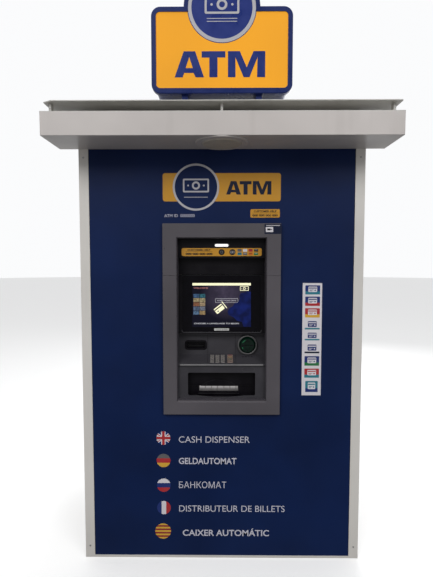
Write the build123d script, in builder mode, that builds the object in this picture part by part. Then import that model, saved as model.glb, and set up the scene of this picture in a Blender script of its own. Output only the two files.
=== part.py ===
from build123d import *
import math
import os

# Outdoor cash machine in a free-standing steel kiosk.
# Millimetres, +Z up, +X to the user's right, -Y towards the user.
# The origin is the centre of the footprint box, on the ground.

os.makedirs("parts", exist_ok=True)

# ---------------------------------------------------------------- driving dimensions

# Kiosk cabinet
cab_w = 1400                      # outer width over the corner posts
cab_front = -400                  # front plane of the posts
cab_rear = 600                    # back plane of the rear frame
cab_h = 2070                      # top of the posts, walls and front panel
base_t = 12                       # floor plate
sheet_t = 3                       # folded steel sheet
post_w, post_d = 48, 30           # front corner post, width and depth
panel_t = 4                       # composite front panel
panel_set = 2                     # front panel behind the posts' faces
frame_t = 4                       # rear frame plate
anchor_dx, anchor_dy, anchor_r = 1240, 880, 9
cable_w, cable_d, cable_y = 140, 90, 510       # cable way through the floor plate

# Canopy, roof and lamp
canopy_w, canopy_h = 1581, 101
canopy_front, canopy_rear = -645, -398
deck_top = cab_h + canopy_h + sheet_t
roof_w, roof_front, roof_rear, roof_t = 1570, -635, 645, 4
roof_gap = 45.5                   # open air gap under the roof sheet
roof_cut_x, roof_cut_y = 42, 25   # cut corners of the roof sheet
roof_tip = 7                      # the smaller cut of the front right corner
lamp_y, lamp_r, lens_r = -522, 122, 92
ring_drop, lens_drop = 6, 10      # how far the lamp stands below the canopy

# Roof sign
sign_w, sign_h, sign_d = 615, 367, 180
sign_front = -615
sign_foot_h = 33.5
sign_corner_r = 40
lobe_r, disc_r = 166, 147
face_w, face_h, face_r = 573, 322, 17
sign_wall, sign_rim = 8, 3
plate_t, plate_lap = 4, 3         # thickness of the face plates, and their reach behind the rim
sign_frame_d, sign_step = 28, 12  # depth of the front frame, and the body inside its outline
edge_r = 4                        # rounding of the sign's front frame

# Cash machine front
surround_w, surround_lo, surround_hi = 582, 757, 1710
surround_front = -418
surround_t = 20
recess_w, recess_lo, recess_hi = 446, 832, 1642
seam_z = 1455                     # joint between the two surround pieces
liner_t = 3
liner_gap = 0.5                   # liner inside the surround
liner_back = -306
inner_w = recess_w - 2 * (liner_gap + liner_t)
head_face_y, head_back_y = -365, -325
head_edge_z = 1541                # where the head steps back
light_z, light_w, light_h = 1604.5, 68, 13

# Display
tilt = 5                          # degrees the display leans back
glass_w, glass_h, glass_r = 400, 284, 12
display_y, display_z = -340, 1308

# Console, measured on the user's side
console_t = 4
face_y = -313                     # upright face with the card reader and receipt slot
console_top = 1156
shelf_back_z, shelf_front_z = 1042, 1010
shelf_front_y = -400
lower_y = -393                    # face below the shelf
console_bottom = recess_lo + liner_gap + liner_t
receipt_x, receipt_z, receipt_w, receipt_h = -133, 1091, 114, 50
reader_x, reader_z, reader_r, reader_lens_r = 133, 1093, 50.5, 42
reader_out = 24                   # how far the reader nose stands out

# Keypad
keypad_w, keypad_l, keypad_depth = 134, 74, 18
key_columns = [(-48, 20), (-21, 20), (6, 20), (44, 29)]     # centre, width
dots_up = 23                      # row of small holes behind the middle of the shelf
key_pitch, key_l, key_gap = 19, 13.5, 0.5
key_up, key_down = 4.5, -6.5      # top and bottom of a key about the shelf surface

# Cash bay and shutter
bay_w, bay_lo, bay_hi, bay_back = 339, 848, 965, -345
bay_floor, bay_roof, bay_t = 840, 968, 4
bay_dip = 8                       # finger dip in the opening's lower edge
slot_x, slot_w, slot_lo, slot_hi = -15, 201, 859, 886
shutter_t, shutter_lap, shutter_travel = 3, 5, 30

# Safe and cassettes
safe_w, safe_front, safe_rear, safe_t = 560, -290, 420, 15
safe_lo, safe_top, plinth_in = 40, 800, 20
safe_door_t = 24
hinge_out = 12                    # hinge axis outside the safe's side
cassette_w, cassette_h, cassette_l = 230, 112, 430
cassette_pitch, cassette_z, cassette_y = 150, 62, -50

# Rear service door
door_w, door_lo, door_hi, door_t = 1080, 18, 1980, 20
opening_w, opening_lo, opening_hi = 1040, 32, 1960
door_gap = 1
hinge_x, hinge_y, hinge_r, pin_r, pin_clear = -554, 612, 9, 4, 0.05

cab_mid_y = (cab_front + cab_rear) / 2
cab_d = cab_rear - cab_front
roof_z = deck_top + roof_gap
sign_z = roof_z + roof_t + sign_foot_h
sign_mid_z = sign_z + sign_h / 2
lobe_z = sign_z + sign_h - 4
face_mid_z = sign_z + 184


def front(y):
    """The upright plane at depth y that faces the user: local x is X, local y is Z."""
    return Plane.XZ.offset(-y)


def save(piece, name):
    """Labels a finished piece and writes it as its own STEP file."""
    piece.label = name
    export_step(piece, f"parts/{name}.step")


# ---------------------------------------------------------------- kiosk structure

with BuildPart() as base_frame:
    with BuildSketch():
        with Locations((0, cab_mid_y)):
            Rectangle(cab_w, cab_d)
            with GridLocations(anchor_dx, anchor_dy, 2, 2):
                Circle(anchor_r, mode=Mode.SUBTRACT)
        with Locations((0, cable_y)):
            Rectangle(cable_w, cable_d, mode=Mode.SUBTRACT)
    extrude(amount=base_t)
save(base_frame.part, "base_frame")

wall_front = cab_front + post_d
with BuildPart() as right_wall:
    with BuildSketch(Plane.YZ.offset(cab_w / 2 - sheet_t)):
        with Locations(((wall_front + cab_rear) / 2, (base_t + cab_h) / 2)):
            Rectangle(cab_rear - wall_front, cab_h - base_t)
    extrude(amount=sheet_t)
save(right_wall.part, "right_wall")
save(mirror(right_wall.part, about=Plane.YZ), "left_wall")

with BuildPart() as right_post:
    with BuildSketch(Plane.XY.offset(base_t)):
        with Locations(((cab_w - post_w) / 2, cab_front + post_d / 2)):
            RectangleRounded(post_w, post_d, 2)
            Rectangle(post_w - 2 * sheet_t, post_d - 2 * sheet_t, mode=Mode.SUBTRACT)
    extrude(amount=cab_h - base_t)
save(right_post.part, "right_post")
save(mirror(right_post.part, about=Plane.YZ), "left_post")

panel_front = cab_front + panel_set
with BuildPart() as front_panel:
    with BuildSketch(front(panel_front)):
        with Locations((0, (base_t + cab_h) / 2)):
            Rectangle(cab_w - 2 * post_w - 0.4, cab_h - base_t)
        with Locations((0, (surround_lo + surround_hi) / 2)):
            Rectangle(surround_w - 22, surround_hi - surround_lo - 22, mode=Mode.SUBTRACT)
    extrude(amount=-panel_t)
save(front_panel.part, "front_panel")

with BuildPart() as rear_frame:
    with BuildSketch(front(cab_rear - frame_t)):
        with Locations((0, (base_t + cab_h) / 2)):
            Rectangle(cab_w - 2 * sheet_t, cab_h - base_t)
        with Locations((0, (opening_lo + opening_hi) / 2)):
            Rectangle(opening_w, opening_hi - opening_lo, mode=Mode.SUBTRACT)
    extrude(amount=-frame_t)
save(rear_frame.part, "rear_frame")

with BuildPart() as canopy:
    with BuildSketch(Plane.XY.offset(cab_h)):
        with Locations((0, (canopy_front + canopy_rear) / 2)):
            RectangleRounded(canopy_w, canopy_rear - canopy_front, 4)
    extrude(amount=canopy_h)
    fillet(canopy.faces().sort_by(Axis.Z)[0].edges(), 2)
    with BuildSketch(Plane.XY.offset(cab_h + sheet_t)):
        with Locations((0, (canopy_front + canopy_rear) / 2)):
            Rectangle(canopy_w - 2 * sheet_t, canopy_rear - canopy_front - 2 * sheet_t)
    extrude(amount=canopy_h, mode=Mode.SUBTRACT)
save(canopy.part, "canopy")

deck_d = cab_rear - canopy_rear
deck_mid_y = (cab_rear + canopy_rear) / 2
with BuildPart() as roof_deck:
    with BuildSketch(Plane.XY.offset(cab_h + canopy_h)):
        with Locations((0, (canopy_front + canopy_rear) / 2)):
            Rectangle(canopy_w, canopy_rear - canopy_front)
        with Locations((0, deck_mid_y)):
            Rectangle(cab_w, deck_d)
    extrude(amount=sheet_t)
    with BuildSketch(Plane.XY.offset(cab_h)):
        with Locations((0, deck_mid_y)):
            Rectangle(cab_w, deck_d)
        with Locations((0, deck_mid_y - sheet_t / 2)):
            Rectangle(cab_w - 2 * sheet_t, deck_d - sheet_t, mode=Mode.SUBTRACT)
    extrude(amount=canopy_h)
save(roof_deck.part, "roof_deck")

with BuildPart() as roof_sheet:
    with BuildSketch(Plane.XY.offset(roof_z)):
        half = roof_w / 2
        with BuildLine():
            Polyline(
                (-half, roof_front + roof_cut_y),
                (roof_cut_x - half, roof_front),
                (half - roof_tip, roof_front),
                (half, roof_front + roof_tip),
                (half, roof_rear - roof_cut_y),
                (half - roof_cut_x, roof_rear),
                (roof_cut_x - half, roof_rear),
                (-half, roof_rear - roof_cut_y),
                close=True,
            )
        make_face()
    extrude(amount=roof_t)
save(roof_sheet.part, "roof_sheet")

standoff_places = [(x, -590) for x in (-758, 0, 758)]
standoff_places += [(x, y) for y in (80, 560) for x in (-660, 660)]
standoff_places += [(0, 560)]
with BuildPart() as roof_standoffs:
    with BuildSketch(Plane.XY.offset(deck_top)):
        with Locations(*standoff_places):
            RectangleRounded(12, 30, 2)
    extrude(amount=roof_gap)
    with BuildSketch(Plane.XY.offset(deck_top)):
        with Locations(*standoff_places):
            RectangleRounded(40, 44, 4)
    extrude(amount=sheet_t)
save(roof_standoffs.part, "roof_standoffs")

with BuildPart() as lamp_ring:
    with BuildSketch(Plane.XY.offset(cab_h)):
        with Locations((0, lamp_y)):
            Circle(lamp_r)
            Circle(lens_r + 0.3, mode=Mode.SUBTRACT)
    extrude(amount=-ring_drop)
    fillet(lamp_ring.faces().sort_by(Axis.Z)[0].edges().sort_by(SortBy.LENGTH)[-1:], 4)
save(lamp_ring.part, "lamp_ring")

with BuildPart() as lamp_lens:
    with BuildSketch(Plane.XY.offset(cab_h)):
        with Locations((0, lamp_y)):
            Circle(lens_r)
    extrude(amount=-lens_drop)
    fillet(lamp_lens.faces().sort_by(Axis.Z)[0].edges(), 8)
save(lamp_lens.part, "lamp_lens")

# ---------------------------------------------------------------- roof sign


def sign_section(y, inset):
    """The sign's outline at depth y: a rounded panel with a round lobe on top."""
    with BuildSketch(front(y)) as section:
        with Locations((0, sign_mid_z)):
            RectangleRounded(sign_w - 2 * inset, sign_h - 2 * inset, sign_corner_r - inset)
        with Locations((0, lobe_z)):
            Circle(lobe_r - inset)
    return section.sketch


sign_hollow = sign_step + sign_wall
with BuildPart() as sign_case:
    extrude(sign_section(sign_front, 0), amount=-sign_frame_d)
    fillet(sign_case.faces().sort_by(Axis.Y)[0].edges(), edge_r)
    extrude(sign_section(sign_front + sign_frame_d, sign_step), amount=-(sign_d - sign_frame_d))
    fillet(sign_case.faces().sort_by(Axis.Y)[-1].edges(), 5)
    extrude(
        sign_section(sign_front + sign_rim, sign_hollow),
        amount=-(sign_d - sign_rim - sign_wall),
        mode=Mode.SUBTRACT,
    )
    # pocket behind the rim that holds the two face plates
    extrude(sign_section(sign_front + sign_rim, sign_wall), amount=-plate_t, mode=Mode.SUBTRACT)
    with BuildSketch(front(sign_front)):
        with Locations((0, face_mid_z)):
            RectangleRounded(face_w, face_h, face_r)
        with Locations((0, lobe_z)):
            Circle(disc_r)
    extrude(amount=-sign_rim, mode=Mode.SUBTRACT)
save(sign_case.part, "sign_case")

with BuildPart() as sign_face:
    with BuildSketch(front(sign_front + sign_rim)):
        with Locations((0, face_mid_z)):
            RectangleRounded(face_w + 2 * plate_lap, face_h + 2 * plate_lap, face_r + plate_lap)
        with Locations((0, lobe_z)):
            Circle(disc_r + plate_lap + 0.3, mode=Mode.SUBTRACT)
    extrude(amount=-plate_t)
save(sign_face.part, "sign_face")

with BuildPart() as sign_disc:
    with BuildSketch(front(sign_front + sign_rim)):
        with Locations((0, lobe_z)):
            Circle(disc_r + plate_lap)
    extrude(amount=-plate_t)
save(sign_disc.part, "sign_disc")

with BuildPart() as sign_feet:
    with BuildSketch(Plane.XY.offset(roof_z + roof_t)):
        with Locations((0, sign_front + sign_d / 2)):
            with GridLocations(326, 110, 2, 2):
                RectangleRounded(27, 30, 3)
    extrude(amount=sign_foot_h)
    with BuildSketch(Plane.XY.offset(roof_z + roof_t)):
        with Locations((0, sign_front + sign_d / 2)):
            with GridLocations(326, 110, 2, 2):
                RectangleRounded(44, 40, 4)
    extrude(amount=4)
save(sign_feet.part, "sign_feet")

# ---------------------------------------------------------------- cash machine front


def surround_piece(low, high):
    """One piece of the surround, between two heights of the whole picture-frame shape."""
    with BuildPart() as piece:
        with BuildSketch(front(surround_front)):
            with Locations((0, (surround_lo + surround_hi) / 2)):
                RectangleRounded(surround_w, surround_hi - surround_lo, 4)
            with Locations((0, (recess_lo + recess_hi) / 2)):
                Rectangle(recess_w, recess_hi - recess_lo, mode=Mode.SUBTRACT)
        extrude(amount=-surround_t)
        rim = piece.faces().sort_by(Axis.Y)[0].outer_wire().edges()
        fillet(rim, 3)
        inner = piece.faces().sort_by(Axis.Y)[0].inner_wires()[0].edges()
        chamfer(inner.sort_by(Axis.Z)[0], 12)
        with BuildSketch(front(surround_front - 10)):
            with Locations((0, (low + high) / 2)):
                Rectangle(surround_w + 20, high - low)
        extrude(amount=-(surround_t + 20), mode=Mode.INTERSECT)
    return piece.part


save(surround_piece(seam_z + 0.6, surround_hi + 10), "upper_surround")
save(surround_piece(surround_lo - 10, seam_z - 0.6), "lower_surround")

liner_w, liner_h = recess_w - 2 * liner_gap, recess_hi - recess_lo - 2 * liner_gap
liner_mid_z = (recess_lo + recess_hi) / 2
with BuildPart() as recess_liner:
    with BuildSketch(front(surround_front + 4)):
        with Locations((0, liner_mid_z)):
            Rectangle(liner_w, liner_h)
            Rectangle(liner_w - 2 * liner_t, liner_h - 2 * liner_t, mode=Mode.SUBTRACT)
    extrude(amount=-(liner_back - surround_front - 4))
save(recess_liner.part, "recess_liner")

head_top = liner_mid_z + liner_h / 2 - liner_t
head_bottom = 1459
with BuildPart() as head_panel:
    with BuildSketch(Plane.YZ):
        with BuildLine():
            Polyline(
                (head_face_y, head_top),
                (head_face_y, head_edge_z),
                (head_back_y, head_edge_z),
                (head_back_y, head_bottom),
                (head_back_y + console_t, head_bottom),
                (head_back_y + console_t, head_edge_z + console_t),
                (head_face_y + console_t, head_edge_z + console_t),
                (head_face_y + console_t, head_top),
                close=True,
            )
        make_face()
    extrude(amount=inner_w / 2, both=True)
    with BuildSketch(front(head_face_y)):
        with Locations((0, light_z)):
            SlotOverall(light_w + 0.4, light_h + 0.4)
    extrude(amount=-console_t, mode=Mode.SUBTRACT)
save(head_panel.part, "head_panel")

with BuildPart() as task_light:
    with BuildSketch(front(head_face_y - 2)):
        with Locations((0, light_z)):
            SlotOverall(light_w, light_h)
    extrude(amount=-(console_t + 2))
    fillet(task_light.faces().sort_by(Axis.Y)[0].edges(), 1.5)
    with BuildSketch(front(head_face_y + console_t)):
        with Locations((0, light_z)):
            RectangleRounded(light_w + 14, light_h + 10, 3)
    extrude(amount=-12)
save(task_light.part, "task_light")

lean = math.radians(tilt)
display = Plane(
    origin=(0, display_y, display_z),
    x_dir=(1, 0, 0),
    z_dir=(0, -math.cos(lean), math.sin(lean)),
)
bezel_h, bezel_t = 298, 18
with BuildPart() as screen_bezel:
    with BuildSketch(display.offset(4)):
        Rectangle(inner_w, bezel_h)
        RectangleRounded(glass_w + 0.6, glass_h + 0.6, glass_r, mode=Mode.SUBTRACT)
    extrude(amount=-bezel_t)
    bezel_face = screen_bezel.faces().sort_by(Axis(display.origin, display.z_dir))[-1]
    chamfer(bezel_face.inner_wires()[0].edges(), 1.2)
save(screen_bezel.part, "screen_bezel")

with BuildPart() as display_panel:
    with BuildSketch(display.offset(2.5)):
        RectangleRounded(glass_w, glass_h, glass_r - 0.3)
    extrude(amount=-(bezel_t - 1.5))
    with BuildSketch(display.offset(4 - bezel_t)):
        Rectangle(glass_w + 16, glass_h + 10)
    extrude(amount=-30)
save(display_panel.part, "display_panel")

# Console: one bent plate with an upright face, a sloping shelf and a lower face
shelf_rise = shelf_back_z - shelf_front_z
shelf_run = face_y - shelf_front_y
slope = math.atan2(shelf_rise, shelf_run)
shelf = Plane(
    origin=(0, (face_y + shelf_front_y) / 2, (shelf_back_z + shelf_front_z) / 2),
    x_dir=(1, 0, 0),
    z_dir=(0, -math.sin(slope), math.cos(slope)),
)
under = console_t / math.cos(slope)
flange_front = -345


def shelf_z(y):
    """Height of the shelf's top surface at depth y."""
    return shelf_front_z + (y - shelf_front_y) * shelf_rise / shelf_run


inside_y = lower_y + console_t
back_y = face_y + console_t
with BuildPart() as console_panel:
    with BuildSketch(Plane.YZ):
        with BuildLine():
            Polyline(
                (flange_front, console_top),
                (flange_front, console_top - console_t),
                (face_y, console_top - console_t),
                (face_y, shelf_back_z),
                (shelf_front_y, shelf_front_z),
                (shelf_front_y, shelf_front_z - 8),
                (lower_y, shelf_front_z - 12),
                (lower_y, console_bottom),
                (inside_y, console_bottom),
                (inside_y, shelf_z(inside_y) - under),
                (back_y, shelf_z(back_y) - under),
                (back_y, console_top),
                close=True,
            )
        make_face()
    extrude(amount=inner_w / 2, both=True)
    lip = console_panel.edges().filter_by(Axis.X).filter_by(
        lambda e: abs(e.center().Y - shelf_front_y) < 0.1
    )
    fillet(lip.sort_by(Axis.Z)[-1], 3)
    # openings in the upright face
    with BuildSketch(front(face_y)):
        with Locations((receipt_x, receipt_z)):
            RectangleRounded(receipt_w - 8, receipt_h - 8, 9)
        with Locations((reader_x, reader_z)):
            Circle(reader_lens_r - 8)
    extrude(amount=-console_t, mode=Mode.SUBTRACT)
    # keypad opening and a row of small holes in the shelf
    with BuildSketch(shelf.offset(1)):
        Rectangle(keypad_w + 0.6, keypad_l + 0.6)
        with Locations((reader_x, dots_up)):
            with GridLocations(15, 0, 4, 1):
                Circle(2)
    extrude(amount=-(keypad_depth + 2), mode=Mode.SUBTRACT)
    # cash bay opening, with a dip for the fingers in its lower edge
    with BuildSketch(front(lower_y)):
        with Locations((0, (bay_lo + bay_hi) / 2)):
            RectangleRounded(bay_w, bay_hi - bay_lo, 8)
        with BuildLine():
            ThreePointArc((-125, bay_lo + 0.2), (-4, bay_lo - bay_dip), (117, bay_lo + 0.2))
            Line((117, bay_lo + 0.2), (-125, bay_lo + 0.2))
        make_face()
    extrude(amount=-console_t, mode=Mode.SUBTRACT)
    # oval rest for the headset socket
    with BuildSketch(front(lower_y)):
        with Locations((134, 981)):
            SlotOverall(60, 16)
    extrude(amount=-1.5, mode=Mode.SUBTRACT)
    # joint lines that divide the face and shelf into three fields
    for side in (-1, 1):
        with BuildSketch(Plane.YZ.offset(side * 71)):
            with BuildLine():
                Polyline(
                    (face_y - 1, console_top - console_t),
                    (face_y + 1, console_top - console_t),
                    (face_y + 1, shelf_back_z - 0.8),
                    (shelf_front_y + 6, shelf_z(shelf_front_y + 6) - 1),
                    (shelf_front_y + 6, shelf_z(shelf_front_y + 6) + 2),
                    (face_y - 1, shelf_back_z + 2),
                    close=True,
                )
            make_face()
        extrude(amount=0.7, both=True, mode=Mode.SUBTRACT)
save(console_panel.part, "console_panel")

# ---------------------------------------------------------------- keypad

key_rows = [key_pitch * (1.5 - row) for row in range(4)]
with BuildPart() as keypad_housing:
    with BuildSketch(shelf):
        RectangleRounded(keypad_w + 5, keypad_l + 4, 4)
    extrude(amount=1)
    with BuildSketch(shelf.offset(1)):
        Rectangle(keypad_w, keypad_l)
    extrude(amount=-(keypad_depth + 1))
    with BuildSketch(shelf.offset(1)):
        for key_x, key_w in key_columns:
            with Locations(*[(key_x, key_y) for key_y in key_rows]):
                Rectangle(key_w + 2 * key_gap, key_l + 2 * key_gap)
    extrude(amount=-11, mode=Mode.SUBTRACT)
save(keypad_housing.part, "keypad_housing")


def make_key(name, x, y, width):
    """One key, standing through the keypad housing."""
    with BuildPart() as key:
        with BuildSketch(shelf.offset(key_up)):
            with Locations((x, y)):
                RectangleRounded(width, key_l, 1.5)
        extrude(amount=key_down - key_up)
        top = key.faces().sort_by(Axis(shelf.origin, shelf.z_dir))[-1]
        fillet(top.edges(), 0.8)
    save(key.part, name)


key_names = [
    ("key_1", "key_2", "key_3", "key_cancel"),
    ("key_4", "key_5", "key_6", "key_clear"),
    ("key_7", "key_8", "key_9", "key_enter"),
    ("key_blank_left", "key_0", "key_blank_right", "key_blank_wide"),
]
for row_y, row_names in zip(key_rows, key_names):
    for (key_x, key_w), key_name in zip(key_columns, row_names):
        make_key(key_name, key_x, row_y, key_w)

# ---------------------------------------------------------------- receipt slot and card reader

throat_w, throat_h, throat_d = receipt_w - 16, receipt_h - 16, 26
with BuildPart() as receipt_bezel:
    with BuildSketch(front(face_y)):
        with Locations((receipt_x, receipt_z)):
            RectangleRounded(receipt_w, receipt_h, 14)
    extrude(amount=4)
    fillet(receipt_bezel.faces().sort_by(Axis.Y)[0].edges(), 2)
    with BuildSketch(front(face_y)):
        with Locations((receipt_x, receipt_z)):
            RectangleRounded(receipt_w - 8.6, receipt_h - 8.6, 8.7)
    extrude(amount=-throat_d)
    with BuildSketch(front(face_y - 4)):
        with Locations((receipt_x, receipt_z)):
            RectangleRounded(throat_w, throat_h, 6)
    extrude(amount=-(throat_d - 2), mode=Mode.SUBTRACT)
    with BuildSketch(front(face_y + throat_d - 6)):
        with Locations((receipt_x, receipt_z)):
            Rectangle(84, 3)
    extrude(amount=-6, mode=Mode.SUBTRACT)
save(receipt_bezel.part, "receipt_bezel")

with BuildPart() as reader_ring:
    with BuildSketch(front(face_y)):
        with Locations((reader_x, reader_z)):
            Circle(reader_r)
            Circle(reader_lens_r + 0.3, mode=Mode.SUBTRACT)
    extrude(amount=16)
    fillet(reader_ring.faces().sort_by(Axis.Y)[0].edges(), 3.5)
save(reader_ring.part, "reader_ring")

card_w, card_gap = 58, 2.4
with BuildPart() as reader_nose:
    with BuildSketch(front(face_y)):
        with Locations((reader_x, reader_z)):
            Circle(reader_lens_r)
    extrude(amount=reader_out)
    chamfer(reader_nose.faces().sort_by(Axis.Y)[0].edges(), 8)
    with BuildSketch(front(face_y)):
        with Locations((reader_x, reader_z)):
            Circle(reader_lens_r - 8.3)
    extrude(amount=-12)
    with BuildSketch(front(face_y - reader_out)):
        with Locations((reader_x, reader_z)):
            Rectangle(card_w, card_gap)
            Rectangle(24, 44)
    extrude(amount=-7, mode=Mode.SUBTRACT)
    with BuildSketch(front(face_y - reader_out)):
        with Locations((reader_x, reader_z)):
            Rectangle(card_w, card_gap)
    extrude(amount=-(reader_out + 8), mode=Mode.SUBTRACT)
save(reader_nose.part, "reader_nose")

# ---------------------------------------------------------------- cash bay, shutter and transport

tray_w = bay_w + 4
tray_mid_z, tray_h = (bay_floor + bay_roof) / 2, bay_roof - bay_floor
with BuildPart() as cash_bay:
    with BuildSketch(front(inside_y)):
        with Locations((0, tray_mid_z)):
            Rectangle(tray_w + 2 * bay_t, tray_h + 2 * bay_t)
    extrude(amount=-(bay_back - inside_y))
    with BuildSketch(front(inside_y)):
        with Locations((0, tray_mid_z)):
            Rectangle(tray_w, tray_h)
    extrude(amount=-(bay_back - inside_y - bay_t), mode=Mode.SUBTRACT)
    with BuildSketch(front(bay_back - bay_t)):
        with Locations((slot_x, (slot_lo + slot_hi) / 2)):
            RectangleRounded(slot_w, slot_hi - slot_lo, 2)
    extrude(amount=-bay_t, mode=Mode.SUBTRACT)
    # guides for the shutter, behind the back wall
    shutter_w = slot_w + 2 * shutter_lap
    guide_h = slot_hi - slot_lo + 2 * shutter_lap + shutter_travel
    with BuildSketch(front(bay_back)):
        with Locations((slot_x, slot_lo - shutter_lap + guide_h / 2)):
            with GridLocations(shutter_w + 8, 0, 2, 1):
                Rectangle(7, guide_h)
    extrude(amount=-(shutter_t + 2))
save(cash_bay.part, "cash_bay")

with BuildPart() as cash_shutter:
    with BuildSketch(front(bay_back + 0.5)):
        with Locations((slot_x, (slot_lo + slot_hi) / 2)):
            Rectangle(shutter_w, slot_hi - slot_lo + 2 * shutter_lap)
    extrude(amount=-shutter_t)
save(cash_shutter.part, "cash_shutter")

safe_mid_x = slot_x
transport_w = 236
with BuildPart() as note_transport:
    with BuildSketch(Plane.YZ.offset(safe_mid_x)):
        with BuildLine():
            Polyline(
                (-334, 852),
                (-334, 905),
                (-296, 905),
                (-296, 938),
                (-90, 938),
                (-90, safe_top),
                (-296, safe_top),
                (-296, 852),
                close=True,
            )
        make_face()
    extrude(amount=transport_w / 2, both=True)
    fillet(note_transport.edges().filter_by(Axis.X).sort_by(Axis.Z)[-2:], 8)
    with BuildSketch(front(-334)):
        with Locations((safe_mid_x, 876)):
            Rectangle(180, 14)
    extrude(amount=-30, mode=Mode.SUBTRACT)
save(note_transport.part, "note_transport")

# ---------------------------------------------------------------- safe and cassettes


def safe_knuckles(low):
    """Heights of the hinge barrels, the lower of each pair when low is true."""
    half = knuckle_l / 2 + 0.25
    return [z - half if low else z + half for z in safe_hinge_heights]


knuckle_l = 36
safe_hinge_heights = (160, 650)
safe_hinge_x = -safe_w / 2 - hinge_out
safe_hinge_y = safe_rear + 1 + safe_door_t / 2
safe_mid_y = (safe_front + safe_rear) / 2
with BuildPart() as safe_body:
    with BuildSketch(Plane.XY.offset(base_t)):
        with Locations((0, safe_mid_y)):
            Rectangle(safe_w - 2 * plinth_in, safe_rear - safe_front - 2 * plinth_in)
    extrude(amount=safe_lo - base_t)
    with BuildSketch(Plane.XY.offset(safe_lo)):
        with Locations((0, safe_mid_y)):
            Rectangle(safe_w, safe_rear - safe_front)
    extrude(amount=safe_top - safe_lo)
    with BuildSketch(front(safe_rear)):
        with Locations((0, (safe_lo + safe_top) / 2)):
            Rectangle(safe_w - 2 * safe_t, safe_top - safe_lo - 2 * safe_t)
    extrude(amount=safe_rear - safe_front - safe_t, mode=Mode.SUBTRACT)
    with BuildSketch(Plane.XY.offset(safe_top)):
        with Locations((safe_mid_x, -200)):
            Rectangle(200, 60)
    extrude(amount=-safe_t, mode=Mode.SUBTRACT)
    # fixed halves of the hinges, with their pins
    for z in safe_knuckles(low=True):
        with BuildSketch(Plane.XY.offset(z - knuckle_l / 2)):
            with Locations((safe_hinge_x, safe_hinge_y)):
                Circle(hinge_r)
            with Locations((safe_hinge_x + 1, safe_rear - 10)):
                Rectangle(hinge_r + 1, 40)
            with Locations((safe_hinge_x + 6, safe_rear - 20)):
                Rectangle(14, 20)
        extrude(amount=knuckle_l)
        with BuildSketch(Plane.XY.offset(z)):
            with Locations((safe_hinge_x, safe_hinge_y)):
                Circle(pin_r)
        extrude(amount=knuckle_l + 16)
save(safe_body.part, "safe_body")

door_mid_z = (safe_lo + safe_top) / 2
handle_x, handle_z = 130, 430
with BuildPart() as safe_door:
    with BuildSketch(front(safe_rear + 1)):
        with Locations((0, door_mid_z)):
            RectangleRounded(safe_w, safe_top - safe_lo - 6, 4)
    extrude(amount=-safe_door_t)
    fillet(safe_door.faces().sort_by(Axis.Y)[-1].edges(), 3)
    # combination lock
    with BuildSketch(front(safe_rear + 1 + safe_door_t)):
        with Locations((handle_x, 590)):
            Circle(36)
    extrude(amount=-8)
    with BuildSketch(front(safe_rear + 9 + safe_door_t)):
        with Locations((handle_x, 590)):
            Circle(24)
    extrude(amount=-22)
    fillet(safe_door.faces().sort_by(Axis.Y)[-1].edges(), 3)
    for z in safe_knuckles(low=False):
        with BuildSketch(Plane.XY.offset(z - knuckle_l / 2)):
            with Locations((safe_hinge_x, safe_hinge_y)):
                Circle(hinge_r)
            with Locations((safe_hinge_x + 8, safe_hinge_y + 2)):
                Rectangle(16, 10)
        extrude(amount=knuckle_l)
        with BuildSketch(Plane.XY.offset(z - knuckle_l / 2)):
            with Locations((safe_hinge_x, safe_hinge_y)):
                Circle(pin_r + pin_clear)
        extrude(amount=knuckle_l, mode=Mode.SUBTRACT)
    with BuildSketch(front(safe_rear + 1)):
        with Locations((handle_x, handle_z)):
            Circle(8 + pin_clear)
    extrude(amount=-safe_door_t, mode=Mode.SUBTRACT)
save(safe_door.part, "safe_door")

handle_y = safe_rear + 1 + safe_door_t
with BuildPart() as safe_handle:
    with BuildSketch(front(handle_y - 18)):
        with Locations((handle_x, handle_z)):
            Circle(8)
    extrude(amount=-40)
    with BuildSketch(front(handle_y + 1)):
        with Locations((handle_x, handle_z)):
            Circle(26)
    extrude(amount=-24)
    with BuildSketch(front(handle_y + 8)):
        with Locations((handle_x, handle_z)):
            for turn in (90, 210, 330):
                with PolarLocations(50, 1, start_angle=turn):
                    SlotOverall(100, 14)
    extrude(amount=-12)
    fillet(safe_handle.faces().sort_by(Axis.Y)[-1].edges(), 3)
save(safe_handle.part, "safe_handle")

rack_w = cassette_w + 8
with BuildPart() as cassette_rack:
    for shelf_i in range(5):
        with BuildSketch(Plane.XY.offset(cassette_z - 6 + shelf_i * cassette_pitch)):
            with Locations((safe_mid_x, cassette_y + cassette_l / 2)):
                Rectangle(rack_w, cassette_l - 20)
        extrude(amount=4)
    with BuildSketch(Plane.XY.offset(safe_lo + safe_t)):
        with Locations((safe_mid_x, cassette_y + cassette_l / 2)):
            with GridLocations(rack_w + 4, 0, 2, 1):
                Rectangle(4, cassette_l - 20)
    extrude(amount=cassette_z + 4 * cassette_pitch - safe_lo - safe_t + 8)
save(cassette_rack.part, "cassette_rack")


def make_cassette(number, z):
    """One note cassette with a carrying handle at its rear end."""
    with BuildPart() as cassette:
        with BuildSketch(Plane.XY.offset(z)):
            with Locations((safe_mid_x, cassette_y + cassette_l / 2)):
                Rectangle(cassette_w, cassette_l)
        extrude(amount=cassette_h)
        fillet(cassette.edges().filter_by(Axis.Y), 4)
        with BuildSketch(front(cassette_y + cassette_l)):
            with Locations((safe_mid_x, z + cassette_h / 2)):
                RectangleRounded(130, 34, 8)
        extrude(amount=-22)
        with BuildSketch(Plane.XY.offset(z + cassette_h / 2 - 20)):
            with Locations((safe_mid_x, cassette_y + cassette_l + 7)):
                Rectangle(106, 14)
        extrude(amount=40, mode=Mode.SUBTRACT)
    save(cassette.part, f"cassette_{number}")


for number in range(4):
    make_cassette(number + 1, cassette_z + number * cassette_pitch)

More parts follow.
